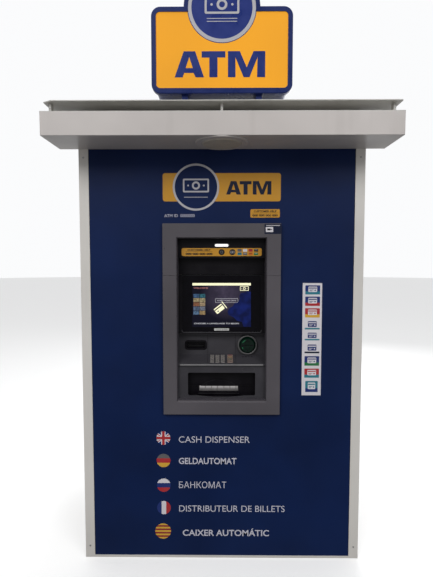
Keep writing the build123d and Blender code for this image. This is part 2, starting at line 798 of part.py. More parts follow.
# ---------------------------------------------------------------- rear service door

door_face = cab_rear + door_gap
door_mid = (door_lo + door_hi) / 2
hinge_heights = (260, 1010, 1760)
lever_x, lever_z = 478, 1040
leaf_t = 4
with BuildPart() as rear_door:
    with BuildSketch(front(door_face)):
        with Locations((0, door_mid)):
            RectangleRounded(door_w, door_hi - door_lo, 3)
    extrude(amount=-door_t)
    fillet(rear_door.faces().sort_by(Axis.Y)[-1].edges(), 2)
    # folded skin, with a solid case for the lock
    with BuildSketch(front(door_face)):
        with Locations((0, door_mid)):
            Rectangle(door_w - 40, door_hi - door_lo - 40)
        with Locations((lever_x, lever_z - 40)):
            Rectangle(90, 190, mode=Mode.SUBTRACT)
    extrude(amount=-(door_t - sheet_t), mode=Mode.SUBTRACT)
    # louvres
    for louvre_z in (330, 1700):
        with BuildSketch(front(door_face)):
            with Locations((0, louvre_z)):
                with GridLocations(0, 26, 1, 7):
                    SlotOverall(420, 12)
        extrude(amount=-door_t, mode=Mode.SUBTRACT)
    for z in hinge_heights:
        with BuildSketch(Plane.XY.offset(z + 0.25)):
            with Locations((hinge_x, hinge_y)):
                Circle(hinge_r)
            with Locations((hinge_x + 9, hinge_y + 1)):
                Rectangle(18, 10)
        extrude(amount=40)
        with BuildSketch(Plane.XY.offset(z + 0.25)):
            with Locations((hinge_x, hinge_y)):
                Circle(pin_r + pin_clear)
        extrude(amount=40, mode=Mode.SUBTRACT)
    # lever rose with the spindle hole, and the lock below it
    with BuildSketch(front(door_face + door_t)):
        with Locations((lever_x, lever_z)):
            Circle(24)
    extrude(amount=-4)
    with BuildSketch(front(door_face + door_t)):
        with Locations((lever_x, lever_z - 80)):
            Circle(15)
    extrude(amount=-5)
    with BuildSketch(front(door_face)):
        with Locations((lever_x, lever_z)):
            Circle(7 + pin_clear)
    extrude(amount=-(door_t + 4), mode=Mode.SUBTRACT)
save(rear_door.part, "rear_door")

with BuildPart() as door_hinges:
    for z in hinge_heights:
        with BuildSketch(Plane.XY.offset(z - 40.25)):
            with Locations((hinge_x, hinge_y)):
                Circle(hinge_r)
            with Locations((hinge_x - 28, cab_rear + leaf_t / 2)):
                Rectangle(48, leaf_t)
            with Locations((hinge_x - 5, (cab_rear + hinge_y) / 2)):
                Rectangle(6, hinge_y - cab_rear)
        extrude(amount=40)
        with BuildSketch(Plane.XY.offset(z - 2)):
            with Locations((hinge_x, hinge_y)):
                Circle(pin_r)
        extrude(amount=48)
        with BuildSketch(Plane.XY.offset(z + 46)):
            with Locations((hinge_x, hinge_y)):
                Circle(pin_r - 1)
        extrude(amount=2)
save(door_hinges.part, "door_hinges")

lever_y = door_face + door_t + 4
with BuildPart() as door_handle:
    with BuildSketch(front(door_face + 2)):
        with Locations((lever_x, lever_z)):
            Circle(7)
    extrude(amount=-(door_t + 6))
    with BuildSketch(front(lever_y + 1)):
        with Locations((lever_x, lever_z)):
            Circle(14)
        with Locations((lever_x, lever_z - 65)):
            SlotOverall(150, 20, rotation=90)
    extrude(amount=-15)
    fillet(door_handle.faces().sort_by(Axis.Y)[-1].edges(), 3)
save(door_handle.part, "door_handle")

# ---------------------------------------------------------------- computer on the safe

with BuildPart() as computer_box:
    with BuildSketch(Plane.XY.offset(safe_top)):
        with Locations((130, 260)):
            Rectangle(190, 260)
    extrude(amount=200)
    fillet(computer_box.edges().filter_by(Axis.Z), 4)
    with BuildSketch(front(390)):
        with Locations((130, safe_top + 100)):
            with GridLocations(0, 16, 1, 7):
                SlotOverall(140, 7)
    extrude(amount=4, mode=Mode.SUBTRACT)
save(computer_box.part, "computer_box")
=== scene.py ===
"""Outdoor cash machine in a steel kiosk: finishes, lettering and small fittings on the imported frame."""

import logging
import math
from dataclasses import dataclass
from enum import Enum

import bmesh
import bpy
from mathutils import Matrix, Vector


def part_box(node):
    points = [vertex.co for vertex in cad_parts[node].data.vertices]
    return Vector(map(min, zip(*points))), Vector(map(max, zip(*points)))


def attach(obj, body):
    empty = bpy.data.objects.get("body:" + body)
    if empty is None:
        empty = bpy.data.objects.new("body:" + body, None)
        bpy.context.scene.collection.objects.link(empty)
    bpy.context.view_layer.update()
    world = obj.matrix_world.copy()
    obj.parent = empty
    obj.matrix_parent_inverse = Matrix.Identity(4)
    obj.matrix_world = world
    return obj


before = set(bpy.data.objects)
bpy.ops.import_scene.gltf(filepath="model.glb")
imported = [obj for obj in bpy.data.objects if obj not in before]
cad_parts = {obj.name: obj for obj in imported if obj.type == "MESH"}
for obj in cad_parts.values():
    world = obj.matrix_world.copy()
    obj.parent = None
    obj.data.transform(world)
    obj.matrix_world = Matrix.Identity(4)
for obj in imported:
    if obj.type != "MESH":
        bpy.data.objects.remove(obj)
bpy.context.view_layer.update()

Colour = tuple[float, float, float]
Point = tuple[float, float]
Outline = list[Point]

LOG = logging.getLogger("cash_machine")
KIOSK = "kiosk"
LAYER = 0.0003


# ------------------------------------------------------------------ finishes


class NodeBench:
    """Lays out one material's nodes around a single Principled shader."""

    def __init__(self, name: str) -> None:
        """Starts an empty material of that name."""
        self.material = bpy.data.materials.new(name)
        self.material.use_nodes = True
        self.tree = self.material.node_tree
        self.shader = self.tree.nodes["Principled BSDF"]
        self.place = self.add("ShaderNodeTexCoord", {}).outputs["Object"]

    def add(self, kind: str, inputs: dict, **settings: object) -> bpy.types.Node:
        """Adds a node.

        Args:
            kind: Blender's class name of the node.
            inputs: Input name or index to a value, or to a socket to link.
            **settings: Attributes of the node itself.

        Returns:
            The new node.
        """
        node = self.tree.nodes.new(kind)
        for key, value in settings.items():
            setattr(node, key, value)
        for key, value in inputs.items():
            self.feed(node.inputs[key], value)
        return node

    def feed(self, socket: bpy.types.NodeSocket, value: object) -> None:
        """Sets a socket's value, or links another socket to it.

        Args:
            socket: The input to fill.
            value: A number, a colour, a vector or an output socket.
        """
        if isinstance(value, bpy.types.NodeSocket):
            self.tree.links.new(value, socket)
        elif isinstance(value, tuple) and len(value) == 3 and socket.type == "RGBA":
            socket.default_value = (*value, 1.0)
        else:
            socket.default_value = value

    def set(self, **values: object) -> None:
        """Fills the shader's own inputs, with underscores for the spaces in their names."""
        for key, value in values.items():
            self.feed(self.shader.inputs[key.replace("_", " ")], value)

    def noise(self, scale: float, stretch: Colour = (1, 1, 1), detail: float = 3.0) -> bpy.types.NodeSocket:
        """Adds a noise pattern in the object's own space.

        Args:
            scale: Lumps per metre.
            stretch: How much finer the pattern is along X, Y and Z.
            detail: Octaves of finer noise.

        Returns:
            The pattern's value socket.
        """
        space = self.add("ShaderNodeMapping", {"Vector": self.place, "Scale": stretch}).outputs[0]
        return self.add("ShaderNodeTexNoise", {"Vector": space, "Scale": scale, "Detail": detail}).outputs[0]

    def span(
        self, value: object, low: float, high: float, start: float = 0.0, end: float = 1.0,
    ) -> bpy.types.NodeSocket:
        """Rescales a value from low..high to start..end, held at both ends.

        Args:
            value: The socket to rescale.
            low: Input value that gives start.
            high: Input value that gives end.
            start: Output at low.
            end: Output at high.

        Returns:
            The rescaled value socket.
        """
        inputs = {"Value": value, "From Min": low, "From Max": high, "To Min": start, "To Max": end}
        return self.add("ShaderNodeMapRange", inputs).outputs[0]

    def times(self, first: object, second: object) -> bpy.types.NodeSocket:
        """Multiplies two values."""
        return self.add("ShaderNodeMath", {0: first, 1: second}, operation="MULTIPLY").outputs[0]

    def blend(self, amount: object, first: object, second: object) -> bpy.types.NodeSocket:
        """Mixes two colours.

        Args:
            amount: 0 for the first colour, 1 for the second.
            first: A colour or a colour socket.
            second: A colour or a colour socket.

        Returns:
            The mixed colour socket.
        """
        return self.add("ShaderNodeMix", {0: amount, 6: first, 7: second}, data_type="RGBA").outputs[2]

    def edges(self, radius: float) -> bpy.types.NodeSocket:
        """Finds the object's edges by comparing a rounded normal with the true one.

        Args:
            radius: Width of the edge band in metres.

        Returns:
            A value socket, 0 on flat areas and up to 1 along edges.
        """
        rounded = self.add("ShaderNodeBevel", {"Radius": radius}, samples=4).outputs[0]
        true = self.add("ShaderNodeNewGeometry", {}).outputs["Normal"]
        same = self.add(
            "ShaderNodeVectorMath", {0: rounded, 1: true}, operation="DOT_PRODUCT",
        ).outputs["Value"]
        return self.span(same, 1.0, 0.75)

    def height_mask(self, low: float, high: float) -> bpy.types.NodeSocket:
        """Gives 1 at the height low, fading to 0 at the height high."""
        level = self.add("ShaderNodeSeparateXYZ", {0: self.place}).outputs[2]
        return self.span(level, low, high, 1.0, 0.0)

    def bump(self, height: object, distance: float, strength: float = 1.0) -> None:
        """Raises the surface by a pattern.

        Args:
            height: The pattern's value socket.
            distance: Depth of the pattern in metres.
            strength: Weight of the bump, 0 to 1.
        """
        inputs = {"Height": height, "Distance": distance, "Strength": strength}
        self.set(Normal=self.add("ShaderNodeBump", inputs).outputs[0])


@dataclass(frozen=True)
class Finish:
    """A surface finish. Each kind builds its own nodes, once."""

    name: str
    colour: Colour

    def material(self) -> bpy.types.Material:
        """Gives the Blender material of this finish, building it on first use."""
        own_name = f"finish_{self.name}"
        ready = bpy.data.materials.get(own_name)
        if ready:
            return ready
        bench = NodeBench(own_name)
        self.build(bench)
        return bench.material

    def build(self, bench: NodeBench) -> None:
        """Lays out the nodes of this finish."""
        raise NotImplementedError


@dataclass(frozen=True)
class Paint(Finish):
    """Sprayed paint or powder coat, with grime at the foot, faint streaks and rubbed edges."""

    roughness: float = 0.38
    grain: float = 700.0
    grain_depth: float = 0.00004
    mottling: float = 0.05
    grime: Colour = (0.13, 0.105, 0.08)
    streaks: float = 0.10
    foot_grime: float = 0.35
    rubbed: float = 0.35
    specular: float = 0.5

    def build(self, bench: NodeBench) -> None:
        """Lays out mottled paint, streaks, grime at the foot, worn edges and orange peel."""
        darker = tuple(c * (1 - 3 * self.mottling) for c in self.colour)
        lighter = tuple(min(1.0, c * (1 + 2 * self.mottling)) for c in self.colour)
        cloud = bench.noise(2.4)
        paint = bench.blend(bench.span(cloud, 0.3, 0.7), darker, lighter)
        run = bench.noise(9.0, (1.4, 1.4, 0.12), 4.0)
        paint = bench.blend(bench.span(run, 0.52, 0.78, 0.0, self.streaks), paint, self.grime)
        foot = bench.times(bench.height_mask(0.0, 0.32), bench.noise(14.0, (1, 1, 0.6)))
        paint = bench.blend(bench.times(foot, self.foot_grime), paint, self.grime)
        chips = bench.span(bench.noise(120.0), 0.45, 0.62)
        worn = bench.times(bench.times(bench.edges(0.0025), chips), self.rubbed)
        pale = tuple(min(1.0, c * 1.7 + 0.05) for c in self.colour)
        bench.set(
            Base_Color=bench.blend(worn, paint, pale),
            Roughness=bench.span(bench.noise(6.0), 0.3, 0.7, self.roughness - 0.06, self.roughness + 0.08),
            Specular_IOR_Level=self.specular,
        )
        bench.bump(bench.noise(self.grain, detail=2.0), self.grain_depth)


@dataclass(frozen=True)
class Moulding(Finish):
    """Moulded plastic with a fine spark texture, polished a little where hands touch it."""

    roughness: float = 0.45
    texture: float = 1600.0
    depth: float = 0.00003
    polish: float = 0.10
    specular: float = 0.5

    def build(self, bench: NodeBench) -> None:
        """Lays out a textured moulding with smudges and paler edges."""
        smudge = bench.noise(16.0)
        dusty = tuple(min(1.0, c * 1.35 + 0.006) for c in self.colour)
        body = bench.blend(bench.span(smudge, 0.4, 0.75, 0.0, 0.5), self.colour, dusty)
        edge = bench.times(bench.edges(0.0015), 0.35)
        pale = tuple(min(1.0, c * 1.6 + 0.03) for c in self.colour)
        bench.set(
            Base_Color=bench.blend(edge, body, pale),
            Roughness=bench.span(smudge, 0.35, 0.7, self.roughness - self.polish, self.roughness + 0.08),
            Specular_IOR_Level=self.specular,
        )
        bench.bump(bench.noise(self.texture, detail=1.0), self.depth)


class Grain(Enum):
    """Direction of the brushing, as how fine the lines are along X, Y and Z."""

    ACROSS = (0.04, 1.0, 1.0)
    UPRIGHT = (1.0, 1.0, 0.04)
    DEEP = (1.0, 0.04, 1.0)


@dataclass(frozen=True)
class Brushed(Finish):
    """Brushed or plated metal, which may glow above a height band as a painted reflection."""

    roughness: float = 0.32
    grain: Grain = Grain.ACROSS
    lines: float = 900.0
    # Strength and height band of a glow on the metal's upper part: a painted reflection, with no glow below
    # the band.
    lit: float = 0.0
    lit_between: tuple[float, float] = (0.0, 1.0)

    def build(self, bench: NodeBench) -> None:
        """Lays out fine lines in colour, roughness and bump, with a few darker smears, and a glow above a
        height band that paints a reflection.
        """
        line = bench.noise(self.lines, self.grain.value, 2.0)
        dull = tuple(c * 0.72 for c in self.colour)
        metal = bench.blend(bench.span(line, 0.3, 0.7), dull, self.colour)
        smear = bench.span(bench.noise(11.0), 0.5, 0.8, 0.0, 0.35)
        bench.set(
            Base_Color=bench.blend(smear, metal, tuple(c * 0.55 for c in self.colour)),
            Metallic=1.0,
            Roughness=bench.span(line, 0.3, 0.7, self.roughness - 0.08, self.roughness + 0.12),
            Emission_Color=bench.blend(bench.height_mask(*self.lit_between), metal, (0.0, 0.0, 0.0)),
            Emission_Strength=self.lit,
        )
        bench.bump(line, 0.00002)


@dataclass(frozen=True)
class Print(Finish):
    """Cut vinyl or screen print, a little faded in patches."""

    roughness: float = 0.42
    fading: float = 0.12

    def build(self, bench: NodeBench) -> None:
        """Lays out ink with faded patches and a faint film texture."""
        faded = tuple(c + (0.35 - c) * self.fading for c in self.colour)
        patch = bench.span(bench.noise(18.0), 0.4, 0.75)
        bench.set(
            Base_Color=bench.blend(patch, self.colour, faded),
            Roughness=bench.span(patch, 0.0, 1.0, self.roughness - 0.05, self.roughness + 0.1),
            Specular_IOR_Level=0.3,
        )
        bench.bump(bench.noise(500.0, detail=1.0), 0.00001)


@dataclass(frozen=True)
class Glow(Finish):
    """A lit surface, such as a diffuser, a lit sign face or part of a display picture; also used for painted
    glints.
    """

    strength: float = 1.0
    unevenness: float = 0.12
    lumps: float = 9.0
    roughness: float = 0.3

    def build(self, bench: NodeBench) -> None:
        """Lays out an emitting surface that is a little uneven."""
        patch = bench.span(bench.noise(self.lumps, detail=1.0), 0.35, 0.7)
        dim = tuple(c * (1 - 2 * self.unevenness) for c in self.colour)
        light = bench.blend(patch, dim, self.colour)
        bench.set(
            Base_Color=light,
            Emission_Color=light,
            Emission_Strength=self.strength,
            Roughness=bench.span(patch, 0.0, 1.0, self.roughness, self.roughness + 0.12),
            Specular_IOR_Level=0.2,
        )


@dataclass(frozen=True)
class Backdrop(Finish):
    """The picture behind the display's text: dark, with a soft lighter area near the top."""

    centre: Colour = (0.0, 0.0, 0.0)
    light: Colour = (0.06, 0.05, 0.08)
    reach: float = 0.13
    strength: float = 1.0

    def build(self, bench: NodeBench) -> None:
        """Lays out a round fade from the light colour to the dark one."""
        inputs = {0: bench.place, 1: self.centre}
        away = bench.add("ShaderNodeVectorMath", inputs, operation="DISTANCE").outputs["Value"]
        cloud = bench.times(
            bench.span(away, 0.0, self.reach, 1.0, 0.0),
            bench.span(bench.noise(22.0), 0.2, 0.7, 0.4, 1.0),
        )
        picture = bench.blend(cloud, self.colour, self.light)
        bench.set(Base_Color=picture, Emission_Color=picture, Emission_Strength=self.strength)
        bench.set(Specular_IOR_Level=0.12, Roughness=bench.span(bench.noise(40.0), 0.3, 0.7, 0.12, 0.2))


@dataclass(frozen=True)
class Tinted(Finish):
    """Tinted clear moulding, such as the card reader's nose, or dark glass."""

    roughness: float = 0.12
    transmission: float = 0.4
    specular: float = 0.5

    def build(self, bench: NodeBench) -> None:
        """Lays out a part-clear moulding with fine scratches."""
        scratch = bench.noise(60.0, (6, 1, 1), 5.0)
        bench.set(
            Base_Color=bench.blend(
                bench.span(bench.noise(30.0), 0.3, 0.7), self.colour, tuple(c * 0.6 for c in self.colour),
            ),
            Roughness=bench.span(scratch, 0.4, 0.75, self.roughness, self.roughness + 0.15),
            Transmission_Weight=self.transmission,
            Specular_IOR_Level=self.specular,
        )
        bench.bump(scratch, 0.00001)


@dataclass(frozen=True)
class Hammered(Finish):
    """Hammer-finish enamel on the safe."""

    roughness: float = 0.34

    def build(self, bench: NodeBench) -> None:
        """Lays out small round dimples over a metallic grey."""
        cell = bench.add("ShaderNodeTexVoronoi", {"Vector": bench.place, "Scale": 130.0}).outputs["Distance"]
        bright = tuple(min(1.0, c * 1.35) for c in self.colour)
        bench.set(
            Base_Color=bench.blend(bench.span(cell, 0.1, 0.6), bright, self.colour),
            Metallic=0.25,
            Roughness=bench.span(bench.noise(12.0), 0.3, 0.7, self.roughness, self.roughness + 0.12),
        )
        bench.bump(cell, 0.0004, 0.6)


WHITE = Paint(
    "white_powder_coat", (0.82, 0.79, 0.745), roughness=0.40, mottling=0.02, streaks=0.05,
    foot_grime=0.16,
)
# A darker copy of the white powder coat for the canopy and the lamp ring: painted shade.
CANOPY_SHADED_WHITE = Paint("canopy_powder_coat_painted_shade", (0.63, 0.585, 0.56), roughness=0.36, mottling=0.03, streaks=0.10)
WHITE_TOP = Paint("white_roof_paint", (0.60, 0.585, 0.55), roughness=0.42, streaks=0.22, rubbed=0.5)
NAVY = Paint(
    "navy_film", (0.0042, 0.0165, 0.080), roughness=0.42, grain=420.0, mottling=0.07, streaks=0.010,
    foot_grime=0.06, rubbed=0.05, grime=(0.04, 0.05, 0.07), specular=0.16,
)
SURROUND = Paint(
    "surround_grey", (0.108, 0.099, 0.112), roughness=0.52, grain=1200.0, grain_depth=0.00006,
    mottling=0.06, streaks=0.04, foot_grime=0.0, rubbed=0.45, grime=(0.12, 0.11, 0.10), specular=0.3,
)
CONSOLE = Moulding("console_grey", (0.047, 0.045, 0.053), roughness=0.5, polish=0.12, specular=0.3)
LINER = Moulding("liner_dark_grey", (0.062, 0.056, 0.068), roughness=0.55, specular=0.3)
BLACK = Moulding("black_moulding", (0.0035, 0.0026, 0.0050), roughness=0.42, specular=0.18)
RUBBER = Moulding("black_rubber", (0.006, 0.006, 0.007), roughness=0.75, polish=0.05, specular=0.25)
MODULE = Moulding("module_black", (0.022, 0.022, 0.025), roughness=0.5)
CASSETTE = Moulding("cassette_grey", (0.045, 0.050, 0.060), roughness=0.45)
SIGN_BLUE = Moulding(
    "sign_blue_gloss", (0.014, 0.026, 0.125), roughness=0.35, texture=200.0, depth=0.00001, specular=0.15,
)
DISC_BLUE = Moulding(
    "disc_blue_film", (0.013, 0.030, 0.190), roughness=0.35, texture=200.0, depth=0.00001, specular=0.25,
)
SIGN_YELLOW = Glow(
    "sign_yellow_lit", (0.88, 0.375, 0.018), strength=0.26, unevenness=0.04, lumps=3.0, roughness=0.5,
)
PRINT_YELLOW = Print("print_yellow", (0.66, 0.32, 0.030), fading=0.04)
PRINT_NAVY = Print("print_navy", (0.003, 0.008, 0.034), fading=0.005)
PRINT_BLUE = Print("print_blue", (0.014, 0.034, 0.190), fading=0.03)
PRINT_WHITE = Print("print_white", (0.82, 0.79, 0.83), fading=0.05)
PRINT_SILVER = Print("print_silver", (0.52, 0.51, 0.54), fading=0.06)
PRINT_LETTER = Print("print_letter", (0.66, 0.65, 0.74), fading=0.06)
PRINT_BLACK = Print("print_black", (0.010, 0.010, 0.012), fading=0.04)
PRINT_GREY = Print("print_grey", (0.14, 0.135, 0.14), fading=0.1)
PRINT_RED = Print("print_red", (0.50, 0.028, 0.035), fading=0.08)
PRINT_DARK_RED = Print("print_dark_red", (0.30, 0.025, 0.03), fading=0.08)
PRINT_GOLD = Print("print_gold", (0.78, 0.45, 0.05), fading=0.05)
PRINT_ORANGE = Print("print_orange", (0.62, 0.16, 0.02), fading=0.06)
PRINT_TEAL = Print("print_teal", (0.02, 0.22, 0.30), fading=0.08)
PRINT_GREEN = Print("print_green", (0.02, 0.20, 0.06), fading=0.06)
OPAL = Glow("opal_diffuser", (0.60, 0.55, 0.47), strength=0.0, unevenness=0.06, lumps=30.0, roughness=0.35)
TASK_LIGHT = Glow("task_light_lit", (0.95, 0.93, 0.92), strength=0.85, unevenness=0.02)
STEEL = Brushed("brushed_steel", (0.50, 0.49, 0.48))
SHUTTER = Brushed("shutter_steel", (0.46, 0.44, 0.43), roughness=0.36, grain=Grain.UPRIGHT, lines=700.0)
# The shutter plates glow above the given height: a painted reflection of bright sky on their upper part.
PLATE_PAINTED_REFLECTION = Brushed(
    "shutter_plate_steel_painted_reflection", (0.44, 0.42, 0.42), roughness=0.45, grain=Grain.UPRIGHT, lines=700.0,
    lit=1.25, lit_between=(0.868, 0.890),
)
KEY_METAL = Brushed("key_metal", (0.78, 0.73, 0.70), roughness=0.5, lines=1400.0)
ZINC = Brushed("zinc_plate", (0.55, 0.57, 0.60), roughness=0.38, grain=Grain.DEEP, lines=240.0)
PLATED = Brushed("screw_plating", (0.62, 0.62, 0.61), roughness=0.3, lines=1500.0)
# Pale satin for the shelf's edging: a real strip whose lightness also paints the highlight along the lip.
SATIN_EDGE_HIGHLIGHT = Brushed("satin_edge_painted_highlight", (0.40, 0.395, 0.40), roughness=0.42)
RING = Brushed("reader_ring_satin", (0.25, 0.245, 0.25), roughness=0.46)
TRIM = Moulding("dark_trim", (0.050, 0.048, 0.055), roughness=0.35)
READER_GREEN = Tinted(
    "reader_green", (0.0010, 0.0160, 0.0090), roughness=0.16, transmission=0.0, specular=0.3,
)
DARK_GLASS = Tinted("dark_glass", (0.0040, 0.0034, 0.0060), roughness=0.10, transmission=0.0, specular=0.12)
SAFE = Hammered("safe_enamel", (0.17, 0.18, 0.19))
LABEL = Print("label_white", (0.62, 0.62, 0.60), fading=0.1)


# ------------------------------------------------------------------ making pieces


@dataclass(frozen=True)
class Face:
    """A flat working face: a point on it, its right and its up direction."""

    origin: Vector
    right: Vector = Vector((1, 0, 0))
    up: Vector = Vector((0, 0, 1))

    def matrix(self, u: float = 0.0, v: float = 0.0, out: float = 0.0) -> Matrix:
        """Places local X, Y and Z along right, up and out of the face.

        Args:
            u: Metres to the right of the origin.
            v: Metres up from the origin.
            out: Metres out of the face.

        Returns:
            The 4x4 placing matrix.
        """
        normal = self.right.cross(self.up)
        point = self.origin + self.right * u + self.up * v + normal * out
        turn = Matrix((self.right, self.up, normal)).transposed().to_4x4()
        return Matrix.Translation(point) @ turn

    def moved(self, u: float, v: float, out: float = 0.0) -> "Face":
        """Gives the same face with its origin moved by u, v and out."""
        return Face(self.matrix(u, v, out).to_translation(), self.right, self.up)


def low(node: str) -> Vector:
    """The lowest corner of a CAD node at rest."""
    return Vector(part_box(node)[0])


def high(node: str) -> Vector:
    """The highest corner of a CAD node at rest."""
    return Vector(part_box(node)[1])


def front_of(node: str, x: float = 0.0, z: float = 0.0) -> Face:
    """The upright face on the user's side of a CAD node."""
    return Face(Vector((x, low(node).y, z)))


def rear_of(node: str, x: float = 0.0, z: float = 0.0) -> Face:
    """The upright face on the service side of a CAD node."""
    return Face(Vector((x, high(node).y, z)), Vector((-1, 0, 0)))


def keep(mesh: bpy.types.Mesh, name: str, finish: Finish, body: str) -> bpy.types.Object:
    """Turns a mesh in the row frame into a piece of the machine.

    Args:
        mesh: The finished mesh.
        name: Name of the piece.
        finish: Its surface finish.
        body: The CAD body it moves with.

    Returns:
        The new object.
    """
    mesh.name = name
    mesh.materials.clear()
    mesh.materials.append(finish.material())
    piece = bpy.data.objects.new(name, mesh)
    bpy.context.scene.collection.objects.link(piece)
    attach(piece, body)
    LOG.info("%s rides on %s, %d faces", name, body, len(mesh.polygons))
    return piece


def mesh_of(curve: bpy.types.Curve) -> bpy.types.Mesh:
    """Turns a curve or text into a mesh and removes the original."""
    holder = bpy.data.objects.new("holder", curve)
    bpy.context.scene.collection.objects.link(holder)
    graph = bpy.context.evaluated_depsgraph_get()
    graph.update()
    mesh = bpy.data.meshes.new_from_object(holder.evaluated_get(graph))
    bpy.data.objects.remove(holder)
    return mesh


def cut(
    name: str, outlines: list[Outline], face: Face, finish: Finish, body: str = KIOSK,
    depth: float = LAYER, level: int = 0, bevel: float = 0.0,
) -> bpy.types.Object:
    """Cuts a flat piece from sheet. An outline inside another is a hole.

    Args:
        name: Name of the piece.
        outlines: Closed outlines on the face, in metres.
        face: The face it lies on.
        finish: Its surface finish.
        body: The CAD body it moves with.
        depth: Thickness in metres.
        level: How many layers of film lie under it.
        bevel: Radius of its softened edges.

    Returns:
        The new object.
    """
    curve = bpy.data.curves.new(name, "CURVE")
    curve.dimensions = "2D"
    curve.fill_mode = "BOTH"
    curve.extrude = depth / 2 - bevel
    curve.bevel_depth = bevel
    curve.bevel_resolution = 2
    curve.offset = -bevel
    for outline in outlines:
        spline = curve.splines.new("POLY")
        spline.points.add(len(outline) - 1)
        for point, (u, v) in zip(spline.points, outline):
            point.co = (u, v, 0, 1)
        spline.use_cyclic_u = True
    mesh = mesh_of(curve)
    mesh.transform(face.matrix(out=depth / 2 + level * LAYER))
    return keep(mesh, name, finish, body)


def write(
    name: str, words: str, face: Face, span: Point, base: float, height: float, finish: Finish,
    body: str = KIOSK, weight: float = 0.0, level: int = 0, depth: float = LAYER,
) -> bpy.types.Object:
    """Sets a line of plain lettering to an exact width and capital height.

    Args:
        name: Name of the piece.
        words: The text.
        face: The face it lies on.
        span: Left and right end on the face, in metres.
        base: Height of the baseline on the face.
        height: Height of the capitals.
        finish: Its surface finish.
        body: The CAD body it moves with.
        weight: Extra stroke weight as a share of the height.
        level: How many layers of film lie under it.
        depth: Thickness in metres.

    Returns:
        The new object.
    """
    text = bpy.data.curves.new(name, "FONT")
    text.body = words
    text.size = 1.0
    text.offset = weight
    text.extrude = 0.5
    text.resolution_u = 5
    mesh = mesh_of(text)
    across = [v.co.x for v in mesh.vertices]
    capital = 0.7 + 2 * weight
    stretch = (span[1] - span[0]) / (max(across) - min(across))
    size = Matrix.Diagonal((stretch, height / capital, depth, 1))
    shift = Matrix.Translation((span[0] - min(across) * stretch, base + weight * height / capital, depth / 2))
    mesh.transform(face.matrix(out=level * LAYER) @ shift @ size)
    return keep(mesh, name, finish, body)


def lathe(
    name: str, profile: list[Point], face: Face, finish: Finish, body: str = KIOSK, steps: int = 48,
) -> bpy.types.Object:
    """Turns a profile round the axis that stands on the face's origin.

    Args:
        name: Name of the piece.
        profile: Radius and height pairs, from the foot round to the foot or the axis.
        face: The face it stands on.
        finish: Its surface finish.
        body: The CAD body it moves with.
        steps: Number of sides.

    Returns:
        The new object.
    """
    work = bmesh.new()
    add_turned(work, profile, face.matrix(), steps)
    return keep_bmesh(work, name, finish, body)


def add_turned(work: bmesh.types.BMesh, profile: list[Point], place: Matrix, steps: int) -> None:
    """Adds a turned shape to a mesh in the making.

    Args:
        work: The mesh to add to.
        profile: Radius and height pairs.
        place: Where the axis stands.
        steps: Number of sides.
    """
    rings = []
    for radius, height in profile:
        if radius == 0:
            rings.append([work.verts.new(place @ Vector((0, 0, height)))])
            continue
        turns = (2 * math.pi * k / steps for k in range(steps))
        rings.append(
            [
                work.verts.new(place @ Vector((radius * math.cos(a), radius * math.sin(a), height)))
                for a in turns
            ],
        )
    for lower, upper in zip(rings, rings[1:]):
        for k in range(steps):
            corners = [
                lower[k % len(lower)], lower[(k + 1) % len(lower)], upper[(k + 1) % len(upper)],
                upper[k % len(upper)],
            ]
            corners = list(dict.fromkeys(corners))
            if len(corners) > 2:
                work.faces.new(corners)


def keep_bmesh(
    work: bmesh.types.BMesh, name: str, finish: Finish, body: str, smooth: float = 35.0,
) -> bpy.types.Object:
    """Finishes a mesh in the making and keeps it as a piece.

    Args:
        work: The mesh, which is freed.
        name: Name of the piece.
        finish: Its surface finish.
        body: The CAD body it moves with.
        smooth: Edges sharper than this many degrees stay sharp.

    Returns:
        The new object.
    """
    bmesh.ops.recalc_face_normals(work, faces=work.faces)
    mesh = bpy.data.meshes.new(name)
    work.to_mesh(mesh)
    work.free()
    mesh.shade_smooth()
    mesh.set_sharp_from_angle(angle=math.radians(smooth))
    return keep(mesh, name, finish, body)


def add_screw(work: bmesh.types.BMesh, face: Face, radius: float, steps: int = 24) -> None:
    """Adds a pan-head screw with a hexagon socket.

    Args:
        work: The mesh to add to.
        face: The face it stands on, with its origin at the screw.
        radius: Radius of the head.
        steps: Number of sides, a multiple of six.
    """
    place = face.matrix()
    dome = [(1.0, 0.0), (1.0, 0.22), (0.9, 0.42), (0.7, 0.52)]
    add_turned(work, [(r * radius, h * radius) for r, h in dome], place, steps)
    rings = []
    for depth, size in ((0.52, 0.7), (0.54, 0.42), (0.2, 0.42)):
        ring = []
        for k in range(steps):
            turn = 2 * math.pi * k / steps
            wedge = (turn + math.pi / 6) % (math.pi / 3) - math.pi / 6
            reach = size if size > 0.5 else size * math.cos(math.pi / 6) / math.cos(wedge)
            ring.append(
                work.verts.new(
                    place @ Vector(
                        (reach * radius * math.cos(turn), reach * radius * math.sin(turn), depth * radius),
                    ),
                ),
            )
        rings.append(ring)
    for outer, inner in zip(rings, rings[1:]):
        for k in range(steps):
            work.faces.new([outer[k], outer[(k + 1) % steps], inner[(k + 1) % steps], inner[k]])
    work.faces.new(rings[-1])


def screws(
    name: str, faces: list[Face], radius: float, finish: Finish, body: str = KIOSK,
) -> bpy.types.Object:
    """Makes a set of equal screws as one piece.

    Args:
        name: Name of the piece.
        faces: One face for each screw.
        radius: Radius of the heads.
        finish: Their finish.
        body: The CAD body they move with.

    Returns:
        The new object.
    """
    work = bmesh.new()
    for face in faces:
        add_screw(work, face, radius)
    bmesh.ops.remove_doubles(work, verts=work.verts, dist=1e-6)
    return keep_bmesh(work, name, finish, body)


